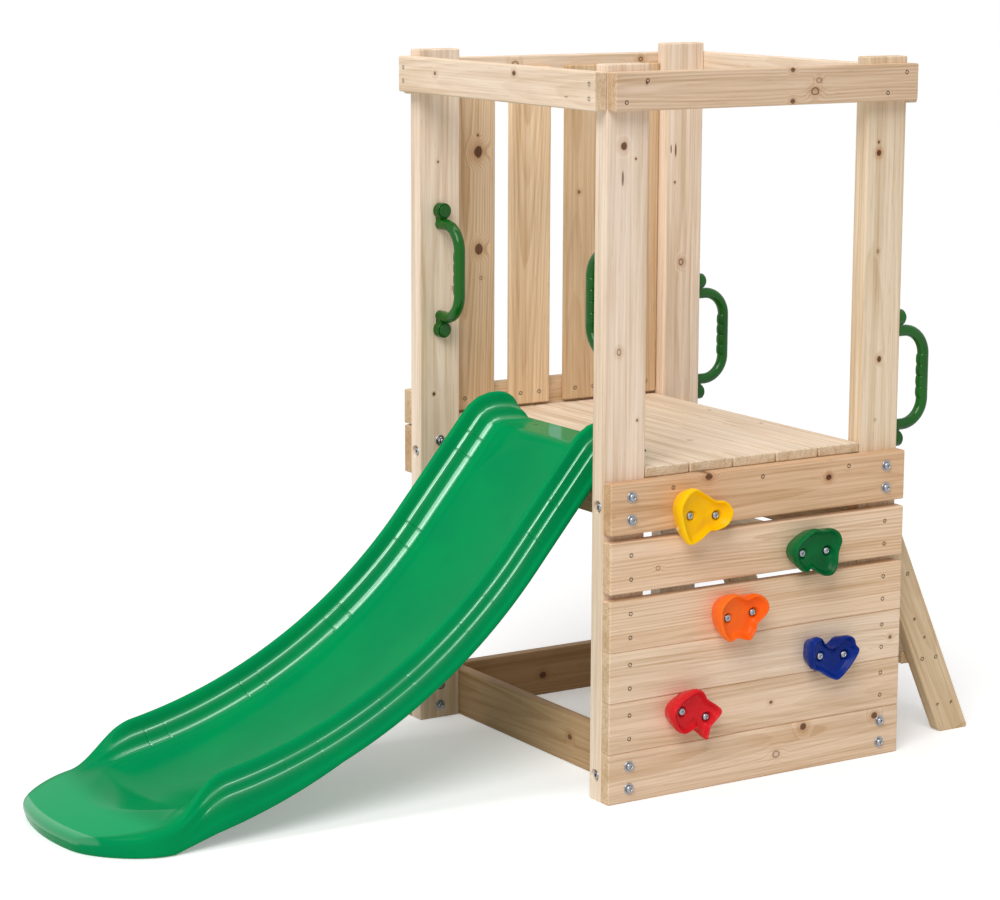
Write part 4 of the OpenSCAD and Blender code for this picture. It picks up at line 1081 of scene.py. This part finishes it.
def holdShell(hold):
    # near the wall the outline is its own running average, the rim is lower where the outline comes in, and
    # round each bolt the face falls to the seat
    size = holdShape
    outline = throughPoints(np.array(hold["outline"], float), size["curveSteps"])
    reach = len(outline) // size["baseWindow"]
    base = sum(np.roll(outline, k, 0) for k in range(-reach, reach + 1)) / (2 * reach + 1)
    rings = holdRings(hold["dish"])
    share, rise = rings[:, 0], rings[:, 1]
    nearWall = (size["baseSmooth"] * (1 - ease(rise / size["baseUp"])))[:, None, None]
    flat = share[:, None, None] * (outline * (1 - nearWall) + base * nearWall)
    lobe = np.linalg.norm(outline, axis=1) / np.linalg.norm(outline, axis=1).max()
    height = rise[:, None] * size["height"] * (1 - size["notchDrop"] * (1 - lobe) * share[:, None])
    onFace = np.arange(len(rings)) > np.argmax(rise)
    for bolt in holdBolts(hold):
        past = np.linalg.norm(flat - bolt, axis=-1) - size["pocketFlat"] * size["pocket"]
        sunk = (1 - ease(past / (size["pocketRun"] * size["pocket"]))) * onFace[:, None]
        height = height + (np.minimum(height, size["seat"]) - height) * sunk
    return gridShell(holdMiddle(hold) + np.concatenate([height[..., None], flat], -1))


for hue, hold in climbingHolds.items():
    resin = mouldedPlastic("hold_" + hue, colour(*hold["deep"]), colour(*hold["pale"]), **holdSkin)
    node = "hold_" + hue
    addPiece("hold" + hue.capitalize(), [holdShell(hold)], resin, [node], holdShape["sharpAngle"])
print("holds:", len(climbingHolds))


# Fasteners

boltSize = dict(
    pitch=40, shank=4, head=7, headHigh=5, socket=2.5, socketDeep=3, washer=10, washerThick=1.6, bore=4.2,
    nut=6.5, nutHigh=6.5, threadOut=3, recess=8, sides=36, sharpAngle=32, nutSharpAngle=25,
)
screwSize = dict(
    head=4.25, headDeep=3.5, shank=2, tip=5, slot=0.65, slotReach=2.5, slotDeep=1.5, sides=16, bite=18,
    faceRow=6, sharpAngle=35,
)
sides = {"left": -1.0, "right": 1.0}
ends = {"front": -1.0, "back": 1.0}
boardPairs = {"left": ("left_board_upper", "left_board_lower"), "right": ("wall_board_1", "wall_board_6")}


def sideBolts(side, end, level):
    # two bolts through a side board and its post; the upper ones at the back also hold a ladder rail
    board, post = boardPairs[side][level], "post_%s_%s" % (end, side)
    grip = thickness(board, 0) + thickness(post, 0)
    if end == "back" and level == 0:
        grip += thickness("ladder_rail_" + side, 0)
    x = outerFace(board, 0, sides[side])
    spots = [(x, middle(post, 1), middle(board, 2) + k * boltSize["pitch"] / 2) for k in (-1, 1)]
    return [(np.array(spot), np.array([sides[side], 0, 0]), grip) for spot in spots]


def crossBolt(side, end, level):
    post, rail = "post_%s_%s" % (end, side), "cross_rail_%s_%s" % (end, level)
    y = outerFace(post, 1, ends[end]) - ends[end] * boltSize["recess"]
    grip = thickness(post, 1) + thickness(rail, 1) - boltSize["recess"]
    return np.array([middle(post, 0), y, middle(rail, 2)]), np.array([0, ends[end], 0]), grip


def boltShells(bolts, under, past):
    # shank, head with a rounded edge and a hexagon socket, as one turned profile
    b = boltSize
    shank, head, socket = b["shank"], b["head"], b["socket"]
    top = under + b["headHigh"]
    floor = top - b["socketDeep"]
    shells = []
    for seat, out, grip in bolts:
        foot = -grip - past
        profile = [
            (0, foot), (shank - 0.8, foot), (shank, foot + 0.8), (shank, under), (head - 0.4, under),
            (head, under + 0.4), (head, top - 2.9), (head - 0.35, top - 1.9), (head - 1.1, top - 0.9),
            (head - 2.2, top - 0.25), (head - 3.3, top), (socket + 0.25, top), (socket, top - 0.3),
            (socket, floor), (0, floor - 0.6),
        ]
        shells += lathe(profile, [seat], [out], b["sides"], flats=(11, 12, 13))
    return [gridShell(shell) for shell in shells]


def washerShells(bolts):
    b = boltSize
    rim, bore, top = b["washer"], b["bore"], b["washerThick"]
    profile = [(bore, 0), (rim - 0.5, 0), (rim, 0.4), (rim, top - 0.5), (rim - 0.5, top), (bore + 0.2, top),
               (bore, top - 0.2)]
    seats = [seat for seat, out, grip in bolts] + [seat - grip * out for seat, out, grip in bolts]
    outs = [out for seat, out, grip in bolts] + [-out for seat, out, grip in bolts]
    return [gridShell(shell, wrapRows=True) for shell in lathe(profile, seats, outs, b["sides"])]


def nutShells(bolts):
    b = boltSize
    nut, bore, base = b["nut"], b["bore"], b["washerThick"]
    top = base + b["nutHigh"]
    profile = [(bore, base), (nut - 0.1, base), (nut, base + 0.3), (nut, top - 0.9), (nut - 0.2, top),
               (bore + 0.6, top), (bore, top - 0.6)]
    seats = [seat - grip * out for seat, out, grip in bolts]
    outs = [-out for seat, out, grip in bolts]
    shells = lathe(profile, seats, outs, b["sides"], flats=(2, 3))
    return [gridShell(shell, wrapRows=True) for shell in shells]


def screwShells(screws):
    # a turned screw whose face sinks to the slot's depth wherever it is nearer than half a slot to one of
    # two crossing lines and inside the slot's reach
    s = screwSize
    head, shank = s["head"], s["shank"]
    turn = np.arange(s["sides"]) * 2 * math.pi / s["sides"]
    shells = []
    for seat, out, length in screws:
        profile = [
            (0, -length), (0.4, -length), (shank, s["tip"] - length), (shank, -s["headDeep"]),
            (head - 0.1, -0.3), (head - 0.05, -0.1), (head - 0.3, 0), (3.0, 0), (2.3, 0), (1.4, 0), (0.7, 0),
            (0, 0),
        ]
        body = lathe(profile, [seat], [out], s["sides"])[0]
        radius = np.array(profile)[:, :1]
        nearLine = radius * np.minimum(np.abs(np.cos(turn)), np.abs(np.sin(turn))) < s["slot"]
        onFace = (np.arange(len(profile)) > s["faceRow"])[:, None]
        sunk = nearLine & (radius < s["slotReach"]) & onFace
        shells.append(gridShell(body - (s["slotDeep"] * sunk)[..., None] * out))
    return shells


ladderBolts = [bolt for side in sides for bolt in sideBolts(side, "back", 0)]
frameBolts = [
    bolt for side in sides for end in ends for level in (0, 1) for bolt in sideBolts(side, end, level)
    if not (end == "back" and level == 0)
]
throughBolts = [crossBolt(side, end, level) for side in sides for end in ends for level in ("upper", "lower")]
allBolts = frameBolts + ladderBolts + throughBolts
tailOut = boltSize["washerThick"] + boltSize["nutHigh"] + boltSize["threadOut"]
holdBoltList = []
for hold in climbingHolds.values():
    spot = holdMiddle(hold) + np.array([holdShape["seat"], 0, 0])
    grip = holdShape["seat"] + thickness("wall_board_1", 0)
    holdBoltList += [(spot + np.array([0, *bolt]), np.array([1.0, 0, 0]), grip) for bolt in holdBolts(hold)]

screwPlan = dict(
    wallPitch=42, railAlong=21, railUp=17.5, endRailUp=12, cleatStep=192, slatGap=42, slatEnd=22,
    deckShift=15, deckBite=11, treadGap=33, padSeat=5, slideAcross=110, slideIn=30,
)


def screwsThrough(piece, axis, sign, spots, bite=screwSize["bite"]):
    # from a piece's outer face into what lies behind it; a spot gives the two coordinates across the screw
    out = sign * np.eye(3)[axis]
    face, length = outerFace(piece, axis, sign), thickness(piece, axis) + bite
    return [(np.insert(np.array(spot, float), axis, face), out, length) for spot in spots]


def wallScrews():
    # pairs at both ends of the four middle wall boards
    up = screwPlan["wallPitch"] / 2
    return screwsThrough("wall_board_2", 0, 1.0, [
        (middle("post_%s_right" % end, 1), middle("wall_board_%d" % board, 2) + k * up)
        for end in ends for board in (2, 3, 4, 5) for k in (-1, 1)
    ])


def sideRailScrews(rail, side):
    along, up = screwPlan["railAlong"], screwPlan["railUp"]
    return screwsThrough(rail, 0, sides[side], [
        (middle("post_%s_%s" % (end, side), 1) + k * along, middle(rail, 2) + k * up)
        for end in ends for k in (-1, 1)
    ])


def endRailScrews(end):
    rail = "top_rail_" + end
    return screwsThrough(rail, 1, ends[end], [
        (middle("post_%s_%s" % (end, side), 0), middle(rail, 2) + k * screwPlan["endRailUp"])
        for side in sides for k in (-1, 1)
    ])


def cleatScrews(side):
    board, cleat = boardPairs[side][0], "deck_cleat_" + side
    return screwsThrough(board, 0, sides[side], [
        (middle(board, 1) + k * screwPlan["cleatStep"], middle(cleat, 2)) for k in (-1, 0, 1)
    ])


def slatScrews(slat):
    levels = (low(slat, 2) + screwPlan["slatEnd"], high(slat, 2) - screwPlan["slatEnd"])
    return screwsThrough(slat, 0, 1.0, [
        (middle(slat, 1) + k * screwPlan["slatGap"] / 2, level) for level in levels for k in (-1, 1)
    ])


def deckScrews(side):
    # from below, through the cleat
    cleat = "deck_cleat_" + side
    return screwsThrough(cleat, 2, -1.0, [
        (middle(cleat, 0), middle("deck_board_%d" % board, 1) + screwPlan["deckShift"])
        for board in range(1, 6)
    ], screwPlan["deckBite"])


def treadScrews(side):
    treads = ["ladder_tread_%d" % number for number in (1, 2, 3)]
    return screwsThrough("ladder_rail_" + side, 0, sides[side], [
        (middle(tread, 1) + k * screwPlan["treadGap"] / 2, middle(tread, 2))
        for tread in treads for k in (-1, 1)
    ])


def mouldingScrews():
    # two in each handle, under its caps, and two in the slide's lip
    length = screwPlan["padSeat"] + screwSize["bite"]
    found = [
        (origin + screwPlan["padSeat"] * out + np.array([0, 0, k * handleBow["pitch"] / 2]), out, length)
        for origin, out in handlePlaces().values() for k in (-1, 1)
    ]
    lipTop = high("deck_board_1", 2) + slideMould["lipThick"]
    for k in (-1, 1):
        across = middle("slide", 0) + k * screwPlan["slideAcross"]
        spot = np.array([across, high("slide", 1) - screwPlan["slideIn"], lipTop])
        found.append((spot, np.array([0, 0, 1.0]), slideMould["lipThick"] + screwPlan["deckBite"]))
    return found


screwGroups = {
    "frame_screws": [
        *wallScrews(), *endRailScrews("front"), *endRailScrews("back"), *cleatScrews("left"),
        *cleatScrews("right"), *sideRailScrews("top_rail_left", "left"),
        *sideRailScrews("top_rail_right", "right"), *sideRailScrews("slat_rail", "left"),
    ],
    "slat_screws": [screw for number in range(1, 5) for screw in slatScrews("slat_%d" % number)],
    "deck_screws": deckScrews("left") + deckScrews("right"),
    "tread_screws": treadScrews("left") + treadScrews("right"),
    "moulding_screws": mouldingScrews(),
}


def addSteel(pieceName, shells, node, sharpAngle):
    addPiece(pieceName, shells, zinc, [node], sharpAngle)


for name, bolts in (("side_bolts", frameBolts), ("ladder_bolts", ladderBolts), ("cross_bolts", throughBolts)):
    shells = boltShells(bolts, boltSize["washerThick"], tailOut)
    addSteel(name.split("_")[0] + "BoltSet", shells, name, boltSize["sharpAngle"])
addSteel("holdBoltSet", boltShells(holdBoltList, 0, 0), "hold_bolts", boltSize["sharpAngle"])
addSteel("washerSet", washerShells(allBolts), "washers", boltSize["sharpAngle"])
addSteel("nutSet", nutShells(allBolts), "nuts", boltSize["nutSharpAngle"])
for name, screws in screwGroups.items():
    addSteel(name.split("_")[0] + "ScrewSet", screwShells(screws), name, screwSize["sharpAngle"])
nodes["tee_nuts"].material_slots[0].material = zinc
boltCount, screwCount = len(allBolts) + len(holdBoltList), sum(map(len, screwGroups.values()))
print("fasteners:", boltCount, "bolts and", screwCount, "screws")


# Studio

studio = dict(
    floorSize=240.0, floorColour=(0.90, 0.90, 0.90, 1), floorRough=0.9, floorLift=0.30, worldLight=0.36,
    sunFrom=(0.46, -0.56, 0.69), sunStrength=1.95, sunAngle=36,
    stripPlace=(-0.15, -1.05, 3.4), stripLong=4.6, stripWide=0.7, stripPower=31,
)
photoView = dict(
    place=(4305.0, -2710.1, 1512.7), yaw=57.852, pitch=10.491, roll=0.206, focusPixels=2890.2,
    imageWide=1000, sensorWide=36.0,
)
white = (1, 1, 1, 1)


def addHolder(name, content):
    holder = bpy.data.objects.new(name, content)
    bpy.context.scene.collection.objects.link(holder)
    return holder


def seenDirectly(tree):
    # 1 for camera, glossy and transmitted rays
    path = tree.nodes.new("ShaderNodeLightPath").outputs
    seen = calc(tree, "MAXIMUM", path["Is Camera Ray"], path["Is Glossy Ray"])
    return calc(tree, "MAXIMUM", seen, path["Is Transmission Ray"])


def paleFloor():
    half = studio["floorSize"] / 2
    corners = [(-half, -half, 0), (half, -half, 0), (half, half, 0), (-half, half, 0)]
    mesh = bpy.data.meshes.new("floor")
    mesh.from_pydata(corners, [], [(0, 1, 2, 3)])
    floor = addHolder("floor", mesh)
    material, tree, shader = newMaterial("pale_floor")
    plug(tree, shader.inputs["Base Color"], studio["floorColour"])
    plug(tree, shader.inputs["Roughness"], studio["floorRough"])
    plug(tree, shader.inputs["Specular IOR Level"], 0.0)
    plug(tree, shader.inputs["Emission Color"], white)
    plug(tree, shader.inputs["Emission Strength"], times(tree, seenDirectly(tree), studio["floorLift"]))
    mesh.materials.append(material)


def whiteWorld():
    # seen directly, in a reflection or through glass the world is white; as light it is even and dimmer
    world = bpy.data.worlds.new("white_studio")
    bpy.context.scene.world = world
    world.use_nodes = True
    tree = world.node_tree
    tree.nodes.clear()
    output = tree.nodes.new("ShaderNodeOutputWorld")
    shader = tree.nodes.new("ShaderNodeBackground")
    plug(tree, shader.inputs["Color"], white)
    light = studio["worldLight"]
    plug(tree, shader.inputs["Strength"], timesPlus(tree, seenDirectly(tree), 1 - light, light))
    tree.links.new(shader.outputs[0], output.inputs["Surface"])


def softSun():
    lamp = bpy.data.lights.new("key_light", "SUN")
    lamp.energy = studio["sunStrength"]
    lamp.angle = math.radians(studio["sunAngle"])
    aim = Vector(studio["sunFrom"]).to_track_quat("Z", "Y")
    addHolder("key_light", lamp).rotation_euler = aim.to_euler()


def stripLamp():
    # a long soft box overhead, running the way the slide runs
    lamp = bpy.data.lights.new("strip_light", "AREA")
    lamp.shape = "RECTANGLE"
    lamp.size = studio["stripWide"]
    lamp.size_y = studio["stripLong"]
    lamp.energy = studio["stripPower"]
    holder = addHolder("strip_light", lamp)
    holder.location = studio["stripPlace"]
    holder.visible_camera = False


def photoCamera():
    # the camera looks along a yaw about the upright, then a pitch down, then a roll about its own line of
    # sight; its place is counted from the floor between the front faces of the front posts
    yaw, pitch, roll = (math.radians(photoView[key]) for key in ("yaw", "pitch", "roll"))
    level = Vector((-math.sin(yaw), math.cos(yaw), 0))
    right = Vector((math.cos(yaw), math.sin(yaw), 0))
    up = Vector((0, 0, 1))
    ahead = math.cos(pitch) * level - math.sin(pitch) * up
    top = math.cos(pitch) * up + math.sin(pitch) * level
    rolledRight = math.cos(roll) * right + math.sin(roll) * top
    rolledTop = math.cos(roll) * top - math.sin(roll) * right
    lens = bpy.data.cameras.new("photo_view")
    lens.sensor_fit = "HORIZONTAL"
    lens.sensor_width = photoView["sensorWide"]
    lens.lens = photoView["focusPixels"] * photoView["sensorWide"] / photoView["imageWide"]
    camera = addHolder("photo_view", lens)
    turn = Matrix((rolledRight, rolledTop, -ahead)).transposed().to_4x4()
    across = (low("post_front_left", 0) + high("post_front_right", 0)) / 2
    origin = np.array([across, low("post_front_left", 1), 0])
    spot = (origin + np.array(photoView["place"])) * mm
    camera.matrix_world = Matrix.Translation(spot.tolist()) @ turn
    bpy.context.scene.camera = camera


paleFloor()
whiteWorld()
softSun()
stripLamp()
photoCamera()
bpy.context.scene.view_settings.view_transform = "Standard"
print("studio: floor, light and camera")
